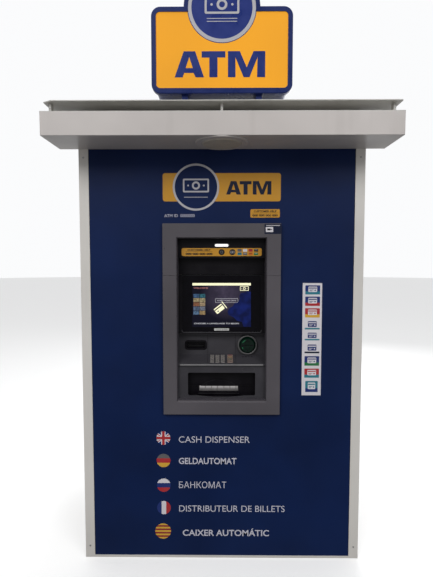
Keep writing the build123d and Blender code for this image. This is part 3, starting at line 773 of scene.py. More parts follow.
def rivets(
    name: str, faces: list[Face], radius: float, finish: Finish, body: str = KIOSK,
) -> bpy.types.Object:
    """Makes a set of equal blind rivets as one piece.

    Args:
        name: Name of the piece.
        faces: One face for each rivet.
        radius: Radius of the heads.
        finish: Their finish.
        body: The CAD body they move with.

    Returns:
        The new object.
    """
    dome = [(1.0, 0.0), (0.97, 0.14), (0.8, 0.34), (0.5, 0.44), (0.36, 0.44), (0.33, 0.36), (0.0, 0.36)]
    work = bmesh.new()
    for face in faces:
        add_turned(work, [(r * radius, h * radius) for r, h in dome], face.matrix(), 16)
    return keep_bmesh(work, name, finish, body)


# ------------------------------------------------------------------ outlines


def arc(cx: float, cy: float, radius: float, start: float, end: float, steps: int = 8) -> Outline:
    """Points along an arc, with its angles in degrees."""
    turns = (math.radians(start + (end - start) * k / steps) for k in range(steps + 1))
    return [(cx + radius * math.cos(a), cy + radius * math.sin(a)) for a in turns]


def circle(cx: float, cy: float, radius: float, steps: int = 64) -> Outline:
    """A round outline."""
    return arc(cx, cy, radius, 0, 360, steps)[:-1]


def pad(cx: float, cy: float, width: float, height: float, radius: float) -> Outline:
    """A rectangle with rounded corners."""
    x, y = width / 2 - radius, height / 2 - radius
    corners = ((x, y, 0), (-x, y, 90), (-x, -y, 180), (x, -y, 270))
    return [p for px, py, a in corners for p in arc(cx + px, cy + py, radius, a, a + 90, 6)]


def box_outline(left: float, right: float, bottom: float, top: float) -> Outline:
    """A plain rectangle."""
    return [(left, bottom), (right, bottom), (right, top), (left, top)]


def band(cx: float, cy: float, radius: float, start: float, end: float, turn: float = 0.0) -> Outline:
    """The part of a disc between two parallel chords.

    Args:
        cx: Centre of the disc, across.
        cy: Centre of the disc, up.
        radius: Radius of the disc.
        start: Lower chord's distance from the centre.
        end: Upper chord's distance from the centre.
        turn: Angle of the chords in degrees.

    Returns:
        The closed outline.
    """
    first = math.degrees(math.asin(max(-1.0, min(1.0, start / radius))))
    last = math.degrees(math.asin(max(-1.0, min(1.0, end / radius))))
    right = arc(cx, cy, radius, first + turn, last + turn, 12)
    left = arc(cx, cy, radius, 180 - last + turn, 180 - first + turn, 12)
    points = right + left
    return [p for p, q in zip(points, points[1:] + points[:1]) if math.dist(p, q) > 1e-6]


class Letter(Enum):
    """Wide block capitals, one unit high: left edge in the word, then the outlines."""

    A = (
        0.0,
        ((0, 0), (0.358, 1), (0.811, 1), (1.158, 0), (0.83, 0), (0.747, 0.17), (0.377, 0.17), (0.313, 0)),
        ((0.434, 0.358), (0.717, 0.358), (0.577, 0.785)),
    )
    T = (
        1.068,
        ((0, 1), (0.932, 1), (0.932, 0.76), (0.622, 0.76), (0.622, 0), (0.302, 0), (0.302, 0.76), (0, 0.76)),
    )
    M = (2.102, ((0, 0), (0, 1), (0.468, 1), (0.738, 0.38), (1.004, 1), (1.464, 1), (1.464, 0), (1.147, 0),
                 (1.164, 0.77), (0.85, 0), (0.619, 0), (0.29, 0.77), (0.30, 0)))


def atm_outlines(left: float, base: float, width: float, height: float) -> list[Outline]:
    """The word ATM in block capitals, fitted to a width and a height.

    Args:
        left: Left end of the word.
        base: Baseline.
        width: Width of the word.
        height: Height of the capitals.

    Returns:
        The outlines of the three letters and of the hole in the A.
    """
    unit = width / 3.566
    return [
        [(left + (letter.value[0] + u) * unit, base + v * height) for u, v in outline]
        for letter in Letter
        for outline in letter.value[1:]
    ]


def banknote_outlines(cx: float, cy: float, width: float) -> list[Outline]:
    """A plain banknote sign: a frame, a ring in the middle and a dot at each side."""
    tall = width * 0.52
    ring = [circle(cx, cy, width * 0.155, 40), circle(cx, cy, width * 0.085, 32)]
    dots = [circle(cx + side * width * 0.30, cy, width * 0.035, 20) for side in (-1, 1)]
    edge = [pad(cx, cy, width, tall, width * 0.05), pad(cx, cy, width * 0.88, tall * 0.77, width * 0.025)]
    return edge + ring + dots


def dress(finish: Finish, *nodes: str) -> None:
    """Gives CAD nodes their finish.

    Args:
        finish: The finish.
        *nodes: Names of the nodes.
    """
    for node in nodes:
        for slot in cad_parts[node].material_slots:
            slot.material = finish.material()
        LOG.info("%s finished in %s", node, finish.name)


# ------------------------------------------------------------------ sub-assemblies


@dataclass
class Cabinet:
    """Steel cabinet, canopy, raised roof sheet and lamp."""

    rivet_radius: float = 0.004
    rivet_pitch: float = 0.24
    screw_radius: float = 0.0045
    lamp_screw_radius: float = 0.003
    lamp_screws: int = 3

    def build(self) -> None:
        """Dresses the cabinet and adds its fixings and seams."""
        dress(WHITE, "left_wall", "right_wall", "left_post", "right_post", "rear_frame", "base_frame")
        # The canopy and the lamp ring get the darker copy of the white paint, as painted shade.
        dress(CANOPY_SHADED_WHITE, "canopy")
        dress(WHITE_TOP, "roof_deck", "roof_sheet", "roof_standoffs")
        dress(CANOPY_SHADED_WHITE, "lamp_ring")
        dress(OPAL, "lamp_lens")
        dress(NAVY, "front_panel")
        self.fix_posts()
        self.fix_walls()
        self.fix_roof()
        self.fix_lamp()

    def fix_posts(self) -> None:
        """Adds a screw at the foot and head of each post, and the dark joint beside the panel."""
        foot, top = low("left_post").z, high("left_post").z
        panel, seam = high("front_panel").x, 0.0012
        faces = []
        for side, post in ((-1, "left_post"), (1, "right_post")):
            middle = (low(post).x + high(post).x) / 2
            faces += [front_of(post, middle, z) for z in (foot + 0.05, top - 0.04)]
            edge = side * (panel + 0.0002)
            strip = box_outline(edge - seam, edge + seam, foot, top)
            face = Face(Vector((0, low("front_panel").y, 0)))
            cut(f"panel_joint_{post}", [strip], face, RUBBER, depth=0.0008)
        screws("post_screws", faces, self.screw_radius, PLATED)

    def fix_walls(self) -> None:
        """Adds a column of rivets along both upright edges of each side wall."""
        foot, top = low("left_wall").z + 0.06, high("left_wall").z - 0.06
        rows = round((top - foot) / self.rivet_pitch)
        heights = [foot + (top - foot) * k / rows for k in range(rows + 1)]
        depths = (low("left_wall").y + 0.03, high("left_wall").y - 0.03)
        for side, wall in ((-1, "left_wall"), (1, "right_wall")):
            plane = low(wall).x if side < 0 else high(wall).x
            faces = [Face(Vector((plane, y, z)), Vector((0, side, 0))) for y in depths for z in heights]
            rivets(f"{wall}_rivets", faces, self.rivet_radius, WHITE)

    def fix_roof(self) -> None:
        """Adds screws through the roof sheet above each standoff, and joints in the roof deck."""
        sheet = high("roof_sheet").z
        low_corner, high_corner = low("roof_standoffs"), high("roof_standoffs")
        spots = [(x, low_corner.y + 0.022) for x in (low_corner.x + 0.02, 0.0, high_corner.x - 0.02)]
        spots += [(x, y) for x in (-0.66, 0.66) for y in (0.08, 0.56)] + [(0.0, 0.56)]
        faces = [Face(Vector((x, y, sheet)), Vector((1, 0, 0)), Vector((0, 1, 0))) for x, y in spots]
        screws("roof_screws", faces, 0.006, PLATED)
        front = low("roof_standoffs").y + 0.007
        fronts = [Face(Vector((x, front, low_corner.z + 0.025))) for x, _ in spots[:3]]
        screws("standoff_screws", fronts, 0.0035, PLATED)
        joint = low("roof_deck").z
        for side, name in ((-1, "left"), (1, "right")):
            face = Face(Vector((side * high("right_wall").x, 0, 0)), Vector((0, side, 0)))
            ends = sorted((side * low("left_wall").y, side * high("left_wall").y))
            cut(
                f"deck_joint_{name}", [box_outline(*ends, joint - 0.001, joint + 0.001)], face, RUBBER,
                depth=0.0006,
            )

    def fix_lamp(self) -> None:
        """Adds the lamp ring's small screws."""
        lens, ring = low("lamp_lens"), low("lamp_ring")
        centre = (lens + high("lamp_lens")) / 2
        middle = (centre.x - ring.x + centre.x - lens.x) / 2
        for_screws = []
        for k in range(self.lamp_screws):
            turn = math.radians(90 + 360 * k / self.lamp_screws)
            spot = Vector((centre.x + middle * math.cos(turn), centre.y + middle * math.sin(turn), ring.z))
            for_screws.append(Face(spot, Vector((1, 0, 0)), Vector((0, -1, 0))))
        screws("lamp_screws", for_screws, self.lamp_screw_radius, PLATED)


@dataclass
class RoofSign:
    """Lit roof sign: blue case, yellow face, round emblem and block letters."""

    word_left: float = -0.206
    word_width: float = 0.394
    word_height: float = 0.110
    word_base: float = 0.069
    ring_width: float = 0.0155
    note_width: float = 0.150

    def build(self) -> None:
        """Dresses the sign and adds its lettering, ring and emblem."""
        dress(SIGN_BLUE, "sign_case", "sign_feet")
        dress(SIGN_YELLOW, "sign_face")
        dress(DISC_BLUE, "sign_disc")
        base = low("sign_case").z
        face = front_of("sign_face", z=base)
        letters = atm_outlines(self.word_left, self.word_base, self.word_width, self.word_height)
        cut("sign_word", letters, face, DISC_BLUE, depth=0.0008)
        self.put_emblem()
        self.put_fixings()

    def put_emblem(self) -> None:
        """Adds the pale ring, the banknote sign and two fine lines to the round disc."""
        reach = (high("sign_disc").x - low("sign_disc").x) / 2 - 0.0025
        centre = (low("sign_disc") + high("sign_disc")) / 2
        face = front_of("sign_disc", centre.x, centre.z)
        inner = reach - self.ring_width
        cut("sign_ring", [circle(0, 0, reach, 96), circle(0, 0, inner, 96)], face, PRINT_SILVER, depth=0.0010)
        cut("sign_banknote", banknote_outlines(0, 0.012, self.note_width), face, PRINT_SILVER, depth=0.0006)
        for name, height in (("upper", -0.048), ("lower", -0.060)):
            line = box_outline(-0.066, 0.066, height, height + 0.003)
            cut(f"sign_line_{name}", [line], face, PRINT_SILVER, depth=0.0006)

    def put_fixings(self) -> None:
        """Adds the case's rear cover screws and the bolts of its feet."""
        corner, far = low("sign_case"), high("sign_case")
        top = corner.z + 0.367
        spots = [(x, z) for x in (corner.x + 0.05, far.x - 0.05) for z in (corner.z + 0.05, top - 0.05)]
        screws("sign_rear_screws", [rear_of("sign_case", x, z) for x, z in spots], 0.005, PLATED)
        foot = low("sign_feet").z + 0.004
        rows = (low("sign_feet").y + 0.004, high("sign_feet").y - 0.004)
        columns = [side * (0.163 + offset) for side in (-1, 1) for offset in (-0.018, 0.018)]
        faces = [
            Face(Vector((x, y + (0.003 if y < -0.5 else -0.003), foot)), Vector((1, 0, 0)), Vector((0, 1, 0)))
            for x in columns
            for y in rows
        ]
        screws("sign_foot_bolts", faces, 0.0026, PLATED)


class Stripes(Enum):
    """Flag roundels: finishes of the bands from the bottom or the left, and the bands' angle."""

    GERMAN = ((PRINT_GOLD, PRINT_RED, PRINT_GREY), 0.0)
    RUSSIAN = ((PRINT_RED, PRINT_BLUE, PRINT_WHITE), 0.0)
    FRENCH = ((PRINT_BLUE, PRINT_WHITE, PRINT_RED), -90.0)
    CATALAN = ((PRINT_GOLD, PRINT_DARK_RED) * 4 + (PRINT_GOLD,), 0.0)


@dataclass
class PanelGraphics:
    """Vinyl graphics on the navy front panel."""

    bar: tuple[float, float, float, float] = (-0.289, 0.289, 1.818, 1.955)
    disc: tuple[float, float, float] = (-0.126, 1.887, 0.114)
    disc_ring: float = 0.010
    word: tuple[float, float, float, float] = (0.022, 1.851, 0.221, 0.065)
    row_text_height: float = 0.033
    tile_left: float = 0.415
    tile_width: float = 0.073

    def build(self) -> None:
        """Lays all graphics on the panel."""
        self.face = front_of("front_panel")
        self.put_banner()
        self.put_small_print()
        self.put_card_strip()
        self.put_language_rows()

    def put_banner(self) -> None:
        """Lays the yellow bar, the ringed disc with its emblem, and the block letters."""
        left, right, bottom, top = self.bar
        bar = pad((left + right) / 2, (bottom + top) / 2, right - left, top - bottom, 0.012)
        cut("banner_bar", [bar], self.face, PRINT_YELLOW)
        x, z, radius = self.disc
        cut("banner_disc", [circle(x, z, radius, 80)], self.face, NAVY, level=1)
        ring = [circle(x, z, radius, 80), circle(x, z, radius - self.disc_ring, 80)]
        cut("banner_ring", ring, self.face, PRINT_SILVER, level=2)
        cut("banner_banknote", banknote_outlines(x, z + 0.008, 0.128), self.face, PRINT_SILVER, level=2)
        cut(
            "banner_line", [box_outline(x - 0.058, x + 0.058, z - 0.050, z - 0.047)], self.face,
            PRINT_SILVER, level=2,
        )
        word_left, base, width, height = self.word
        cut("banner_word", atm_outlines(word_left, base, width, height), self.face, PRINT_NAVY, level=1)

    def put_small_print(self) -> None:
        """Lays the identification line and the help sticker, both with zeros for numbers."""
        write("id_line", "ATM ID  0000000", self.face, (-0.282, -0.133), 1.742, 0.0140, PRINT_LETTER)
        sticker = pad(0.213, 1.7595, 0.144, 0.041, 0.006)
        cut("help_sticker", [sticker], self.face, PRINT_YELLOW)
        cut("help_sticker_rule", [box_outline(0.150, 0.276, 1.7605, 1.7615)], self.face, PRINT_BLACK, level=1)
        write(
            "help_sticker_words", "CUSTOMER HELP", self.face, (0.157, 0.269), 1.765, 0.0095, PRINT_BLACK,
            level=1, weight=0.03,
        )
        write(
            "help_sticker_number", "000 000 000 000", self.face, (0.151, 0.275), 1.7445, 0.0105,
            PRINT_BLACK, level=1, weight=0.03,
        )

    def put_card_strip(self) -> None:
        """Lays the white strip with its column of plain card signs."""
        cut("card_strip", [box_outline(0.402, 0.498, 0.852, 1.417)], self.face, PRINT_WHITE)
        tiles = [
            (1.3835, 0.045, PRINT_BLUE, PRINT_TEAL, PRINT_WHITE),
            (1.3270, 0.046, PRINT_BLUE, PRINT_RED, PRINT_WHITE),
            (1.2690, 0.046, PRINT_RED, PRINT_GOLD, PRINT_WHITE),
            (1.2100, 0.048, PRINT_WHITE, PRINT_TEAL, PRINT_BLUE),
            (1.1535, 0.045, PRINT_WHITE, PRINT_TEAL, PRINT_BLUE),
            (1.0915, 0.051, PRINT_WHITE, PRINT_NAVY, PRINT_BLUE),
            (1.0270, 0.048, PRINT_BLUE, PRINT_GREEN, PRINT_WHITE),
            (0.9650, 0.046, PRINT_RED, PRINT_TEAL, PRINT_WHITE),
            (0.8970, 0.056, PRINT_TEAL, PRINT_BLUE, PRINT_WHITE),
        ]
        middle = self.tile_left + self.tile_width / 2
        for number, (z, height, ground, second, mark) in enumerate(tiles, 1):
            width = self.tile_width if number < 9 else 0.062
            cut(f"card_tile_{number}", [pad(middle, z, width, height, 0.003)], self.face, ground, level=1)
            share = 0.16 if ground is PRINT_WHITE else 0.34
            foot = box_outline(
                middle - width / 2, middle + width / 2, z - height / 2, z + height * (share - 0.5),
            )
            cut(f"card_tile_foot_{number}", [foot], self.face, second, level=2)
            self.put_card_sign(number, middle, z + height * 0.06, width * 0.60, height * 0.60, mark)

    def put_card_sign(
        self, number: int, x: float, z: float, width: float, height: float, finish: Finish,
    ) -> None:
        """Lays one plain payment-card sign: a card with a stripe, a chip and two lines.

        Args:
            number: Place in the column, from the top.
            x: Centre across.
            z: Centre up.
            width: Width of the card sign.
            height: Height of the card sign.
            finish: Its colour.
        """
        card = pad(x, z, width, height, height * 0.14)
        stripe = box_outline(x - width * 0.46, x + width * 0.46, z + height * 0.14, z + height * 0.32)
        lines = [
            box_outline(x - width * 0.36, x + width * end, z + height * v, z + height * (v + 0.09))
            for end, v in ((0.10, -0.16), (-0.06, -0.34))
        ]
        chip = pad(x + width * 0.28, z - height * 0.18, width * 0.16, height * 0.22, height * 0.03)
        cut(f"card_sign_{number}", [card, stripe, chip, *lines], self.face, finish, level=3)

    def put_language_rows(self) -> None:
        """Lays the five flag roundels and the words for a cash machine beside them."""
        rows = [
            ("english", "CASH DISPENSER", 0.6295, 0.035, (-0.217, 0.143), 0.606, 0.0),
            ("german", "GELDAUTOMAT", 0.512, 0.035, (-0.217, 0.076), 0.494, 0.018),
            ("russian", "БАНКОМАТ", 0.3825, 0.035, (-0.217, 0.025), 0.368, 0.0),
            ("french", "DISTRIBUTEUR DE BILLETS", 0.264, 0.035, (-0.217, 0.323), 0.244, 0.0),
            ("catalan", "CAIXER AUTOMÁTIC", 0.1395, 0.0405, (-0.199, 0.244), 0.115, 0.018),
        ]
        for name, words, z, radius, span, base, weight in rows:
            write(
                f"words_{name}", words, self.face, span, base, self.row_text_height, PRINT_LETTER,
                weight=weight,
            )
            x = -0.300 if name == "catalan" else -0.295
            if name == "english":
                self.put_crossed_flag(x, z, radius)
            else:
                self.put_striped_flag(name, x, z, radius)

    def put_striped_flag(self, name: str, x: float, z: float, radius: float) -> None:
        """Lays a roundel of parallel bands.

        Args:
            name: Language of the row.
            x: Centre across.
            z: Centre up.
            radius: Radius of the roundel.
        """
        finishes, turn = Stripes[name.upper()].value
        step = 2 * radius / len(finishes)
        for number, finish in enumerate(finishes):
            start = -radius + number * step
            outline = band(x, z, radius, start, start + step, turn)
            cut(f"flag_{name}_{number + 1}", [outline], self.face, finish)

    def put_crossed_flag(self, x: float, z: float, radius: float) -> None:
        """Lays the roundel with upright and diagonal crosses.

        Args:
            x: Centre across.
            z: Centre up.
            radius: Radius of the roundel.
        """
        cut("flag_english_ground", [circle(x, z, radius)], self.face, PRINT_BLUE)
        layers = [
            ("diagonals", PRINT_WHITE, 0.20, (32, -32), 1), ("fine_diagonals", PRINT_RED, 0.07, (32, -32), 3),
            ("cross_edge", PRINT_WHITE, 0.32, (0, 90), 5), ("cross", PRINT_RED, 0.19, (0, 90), 7),
        ]
        for name, finish, half, turns, level in layers:
            for step, turn in enumerate(turns):
                outline = band(x, z, radius, -half * radius, half * radius, turn)
                side = "first" if step == 0 else "second"
                piece = cut(
                    f"flag_english_{name}_{side}", [outline], self.face, finish, depth=0.00012, level=0,
                )
                outward = self.face.right.cross(self.face.up)
                piece.location = outward * (LAYER + 0.00013 * (level + step))


@dataclass
class MachineFront:
    """Surround, recess and head of the cash machine."""

    strip: tuple[float, float, float, float] = (-0.200, 0.202, 1.5505, 1.5905)

    def build(self) -> None:
        """Dresses the front and adds its strip, stickers and slots."""
        dress(SURROUND, "upper_surround", "lower_surround")
        dress(LINER, "recess_liner")
        dress(BLACK, "head_panel")
        dress(TASK_LIGHT, "task_light")
        self.put_strip()
        self.put_corner_sticker()
        self.put_ventilation()

    def put_strip(self) -> None:
        """Lays the yellow strip with its help line, round signs and card tiles."""
        face = front_of("head_panel")
        left, right, bottom, top = self.strip
        middle = (bottom + top) / 2
        cut(
            "head_strip", [pad(0, middle, right - left, top - bottom, 0.009)], face, PRINT_YELLOW,
            bevel=0.0001,
        )
        write(
            "head_strip_words", "CUSTOMER HELP", face, (-0.172, -0.056), middle + 0.0065, 0.0085,
            PRINT_BLACK, level=1, weight=0.04,
        )
        cut(
            "head_strip_rule", [box_outline(-0.181, -0.046, middle + 0.003, middle + 0.004)], face,
            PRINT_BLACK, level=1,
        )
        write(
            "head_strip_number", "000 000 000 000", face, (-0.181, -0.046), middle - 0.0145, 0.0115,
            PRINT_BLACK, level=1, weight=0.05,
        )
        for name, x in (("left", 0.0), ("right", 0.054)):
            cut(f"head_sign_{name}", [circle(x, middle, 0.0152, 40)], face, PRINT_BLACK, level=1)
        cut(
            "head_sign_camera", [circle(0, middle, 0.0075, 32), circle(0, middle, 0.0045, 28)], face,
            PRINT_GREY, level=2,
        )
        cut("head_sign_note", banknote_outlines(0.054, middle, 0.020), face, PRINT_SILVER, level=2)
        tiles = (
            PRINT_GREY, PRINT_WHITE, PRINT_RED, PRINT_BLACK, PRINT_TEAL, PRINT_GREY, PRINT_ORANGE,
            PRINT_GREEN,
        )
        for number, finish in enumerate(tiles):
            x, z = 0.090 + 0.0275 * (number % 4), middle + (0.009 if number < 4 else -0.0085)
            cut(f"head_tile_{number + 1}", [pad(x, z, 0.0205, 0.0135, 0.002)], face, finish, level=1)
            line = box_outline(x - 0.007, x + 0.007, z + 0.0015, z + 0.0035)
            cut(
                f"head_tile_line_{number + 1}", [line], face, PRINT_SILVER if number % 2 else PRINT_NAVY,
                level=2,
            )

    def put_corner_sticker(self) -> None:
        """Lays the navy sticker with a plain camera sign, and the small dot on the left stile."""
        face = front_of("upper_surround")
        cut("corner_sticker", [pad(0.2495, 1.682, 0.081, 0.048, 0.002)], face, PRINT_NAVY)
        cut("corner_sticker_line", [box_outline(0.216, 0.284, 1.698, 1.7005)], face, PRINT_WHITE, level=1)
        cut("corner_sticker_pane", [pad(0.233, 1.6795, 0.036, 0.025, 0.002)], face, PRINT_WHITE, level=1)
        camera = [
            pad(0.2305, 1.6795, 0.017, 0.009, 0.002), [(0.2395, 1.6795), (0.245, 1.684), (0.245, 1.675)],
        ]
        cut("corner_sticker_camera", camera, face, PRINT_BLACK, level=2)
        cut("stile_plug", [circle(-0.281, 1.586, 0.0022, 20)], face, PRINT_BLACK, depth=0.0004)

    def put_ventilation(self) -> None:
        """Adds a row of fine slots, as a dark inlay, under the head."""
        z = low("head_panel").z + 0.046
        face = Face(Vector((0, low("head_panel").y + 0.040, z)))
        slots = [pad(-0.15 + 0.02 * k, 0, 0.012, 0.003, 0.0014) for k in range(16)]
        cut("head_slots", slots, face, RUBBER, depth=0.0004)


@dataclass
class Display:
    """Display glass, its bezel, the lit picture and the label under it."""

    width: float = 0.298
    height: float = 0.224
    centre_up: float = -0.0055
    lean: float = math.radians(5)
    tab: Point = (0.076, 0.0118)
    card_size: float = 0.66
    # Half width, side height and strip width of the thin strip at the display's foot, a painted highlight.
    trim: tuple[float, float, float] = (0.203, 0.014, 0.0032)

    def build(self) -> None:
        """Dresses the display and lays its picture."""
        dress(BLACK, "screen_bezel")
        dress(DARK_GLASS, "display_panel")
        self.face = self.find_face()
        self.put_picture()
        self.put_tab()
        self.put_trim()

    def find_face(self) -> Face:
        """Works out the leaning front face of the glass from the display panel's own mesh.

        Returns:
            The face, with its origin at the middle of the picture.
        """
        normal = Vector((0, -math.cos(self.lean), math.sin(self.lean)))
        up = Vector((0, math.sin(self.lean), math.cos(self.lean)))
        points = [v.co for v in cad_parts["display_panel"].data.vertices]
        reach = max(p.dot(normal) for p in points)
        front = [p for p in points if p.dot(normal) > reach - 1e-4]
        levels = [p.dot(up) for p in front]
        middle = (max(levels) + min(levels)) / 2 + self.centre_up
        return Face(normal * reach + up * middle, Vector((1, 0, 0)), up)

    def put_picture(self) -> None:
        """Lays the lit picture: bar, backdrop, blue field, card sign, tiles and lines of text."""
        half, tall = self.width / 2, self.height / 2
        glow = self.face.moved(0.02, 0.05).origin
        backdrop = Backdrop(
            "screen_backdrop", (0.004, 0.004, 0.010), centre=tuple(glow), light=(0.060, 0.048, 0.080),
            strength=0.75,
        )
        cut("screen_picture", [box_outline(-half, half, -tall, tall)], self.face, backdrop)
        cream = Glow("screen_cream", (0.80, 0.78, 0.52), strength=0.75, unevenness=0.03)
        blue = Glow("screen_blue", (0.002, 0.008, 0.085), strength=0.75, unevenness=0.3, lumps=26.0)
        pale = Glow("screen_pale", (0.50, 0.50, 0.54), strength=0.6, unevenness=0.05)
        pink = Glow("screen_pink", (0.42, 0.17, 0.16), strength=0.6, unevenness=0.05)
        cut("screen_bar", [box_outline(-half, half, tall - 0.013, tall - 0.0005)], self.face, cream, level=1)
        blue_area = [
            (half, 0.066), (0.128, 0.070), (0.112, 0.062), (0.098, 0.060), (0.090, 0.046), (0.094, 0.030),
            (0.080, 0.014), (0.066, 0.010), (0.058, -0.006), (0.040, -0.016), (0.030, -0.034),
            (0.036, -0.052), (0.060, -0.062), (0.078, -0.080), (0.104, -0.086), (0.112, -tall + 0.001),
            (half, -tall + 0.001),
        ][::-1]
        cut("screen_field", [blue_area], self.face, blue, level=1)
        write(
            "screen_welcome", "WELCOME", self.face, (-half + 0.006, -half + 0.080), tall - 0.030, 0.008,
            pink, level=1,
        )
        cut("screen_note", banknote_outlines(0.116, tall - 0.028, 0.044), self.face, cream, level=1)
        frame_edge = [pad(0.026, 0.022, 0.116, 0.022, 0.004), pad(0.026, 0.022, 0.1136, 0.0196, 0.003)]
        cut("screen_caption_frame", frame_edge, self.face, pale, level=1)
        write("screen_caption", "INSERT YOUR CARD", self.face, (-0.022, 0.074), 0.0187, 0.0068, pale, level=2)
        self.put_card_and_slot(cream, blue)
        self.put_tiles()
        write(
            "screen_line", "CHOOSE A LANGUAGE TO BEGIN", self.face, (-half + 0.009, 0.088), -tall + 0.014,
            0.0068, pale, level=2, weight=0.02,
        )

    def put_card_and_slot(self, cream: Finish, blue: Finish) -> None:
        """Lays the sign of a card on its way into a slot.

        Args:
            cream: Finish of the card.
            blue: Finish of the card's stripe.
        """
        turn = Matrix.Rotation(math.radians(38), 2)

        def tilted(outline: Outline) -> Outline:
            """Turns and moves an outline on to the card's place."""
            return [tuple(turn @ (Vector(p) * self.card_size) + Vector((-0.012, -0.020))) for p in outline]

        card = [tilted(pad(0, 0, 0.074, 0.046, 0.005)), tilted(box_outline(-0.036, 0.036, 0.006, 0.014))]
        cut("screen_card", card, self.face, cream, level=2)
        cut("screen_card_chip", [tilted(pad(-0.018, -0.010, 0.012, 0.009, 0.002))], self.face, blue, level=4)
        cut("screen_slot", [tilted(pad(0.050, 0.0, 0.006, 0.064, 0.003))], self.face, cream, level=2)

    def put_tiles(self) -> None:
        """Lays the column of small picture tiles on the left of the picture."""
        shades = [
            (0.05, 0.11, 0.22), (0.03, 0.13, 0.17), (0.34, 0.27, 0.15), (0.40, 0.33, 0.19),
            (0.26, 0.11, 0.06), (0.38, 0.28, 0.17), (0.10, 0.14, 0.22), (0.16, 0.18, 0.24),
            (0.09, 0.16, 0.26), (0.36, 0.25, 0.12),
        ]
        for number, shade in enumerate(shades):
            finish = Glow(f"screen_tile_{number + 1}", shade, strength=0.45, unevenness=0.3, lumps=160.0)
            u, v = -0.129 + 0.031 * (number % 2), 0.046 - 0.0215 * (number // 2)
            cut(f"screen_tile_{number + 1}", [pad(u, v, 0.029, 0.0195, 0.001)], self.face, finish, level=1)

    def put_tab(self) -> None:
        """Lays the pale label on the glass under the picture."""
        down = -self.height / 2 - 0.0130
        width, height = self.tab
        cut("screen_tab", [pad(0, down, width, height, 0.002)], self.face, LABEL)
        write(
            "screen_tab_words", "TOUCH SCREEN", self.face, (-0.030, 0.030), down - 0.003, 0.006,
            PRINT_GREY, level=1,
        )

    def put_trim(self) -> None:
        """Lays the thin satin strip that runs round the foot of the display panel: a painted highlight along
        the lower edge of the glass.
        """
        half, tall, width = self.trim
        panel = low("screen_bezel")
        face = front_of("screen_bezel", z=panel.z + 0.004)
        curve, corner = 0.010, 0.010 - width
        outer = [
            (-half, tall), *arc(-half + curve, curve, curve, 180, 270),
            *arc(half - curve, curve, curve, 270, 360), (half, tall),
        ]
        left, right = -half + width, half - width
        inner = [
            (left, tall), *arc(-half + curve, curve, corner, 180, 270),
            *arc(half - curve, curve, corner, 270, 360), (right, tall),
        ]
        cut("screen_trim_painted_highlight", [outer + inner[::-1]], face, TRIM, depth=0.0006)


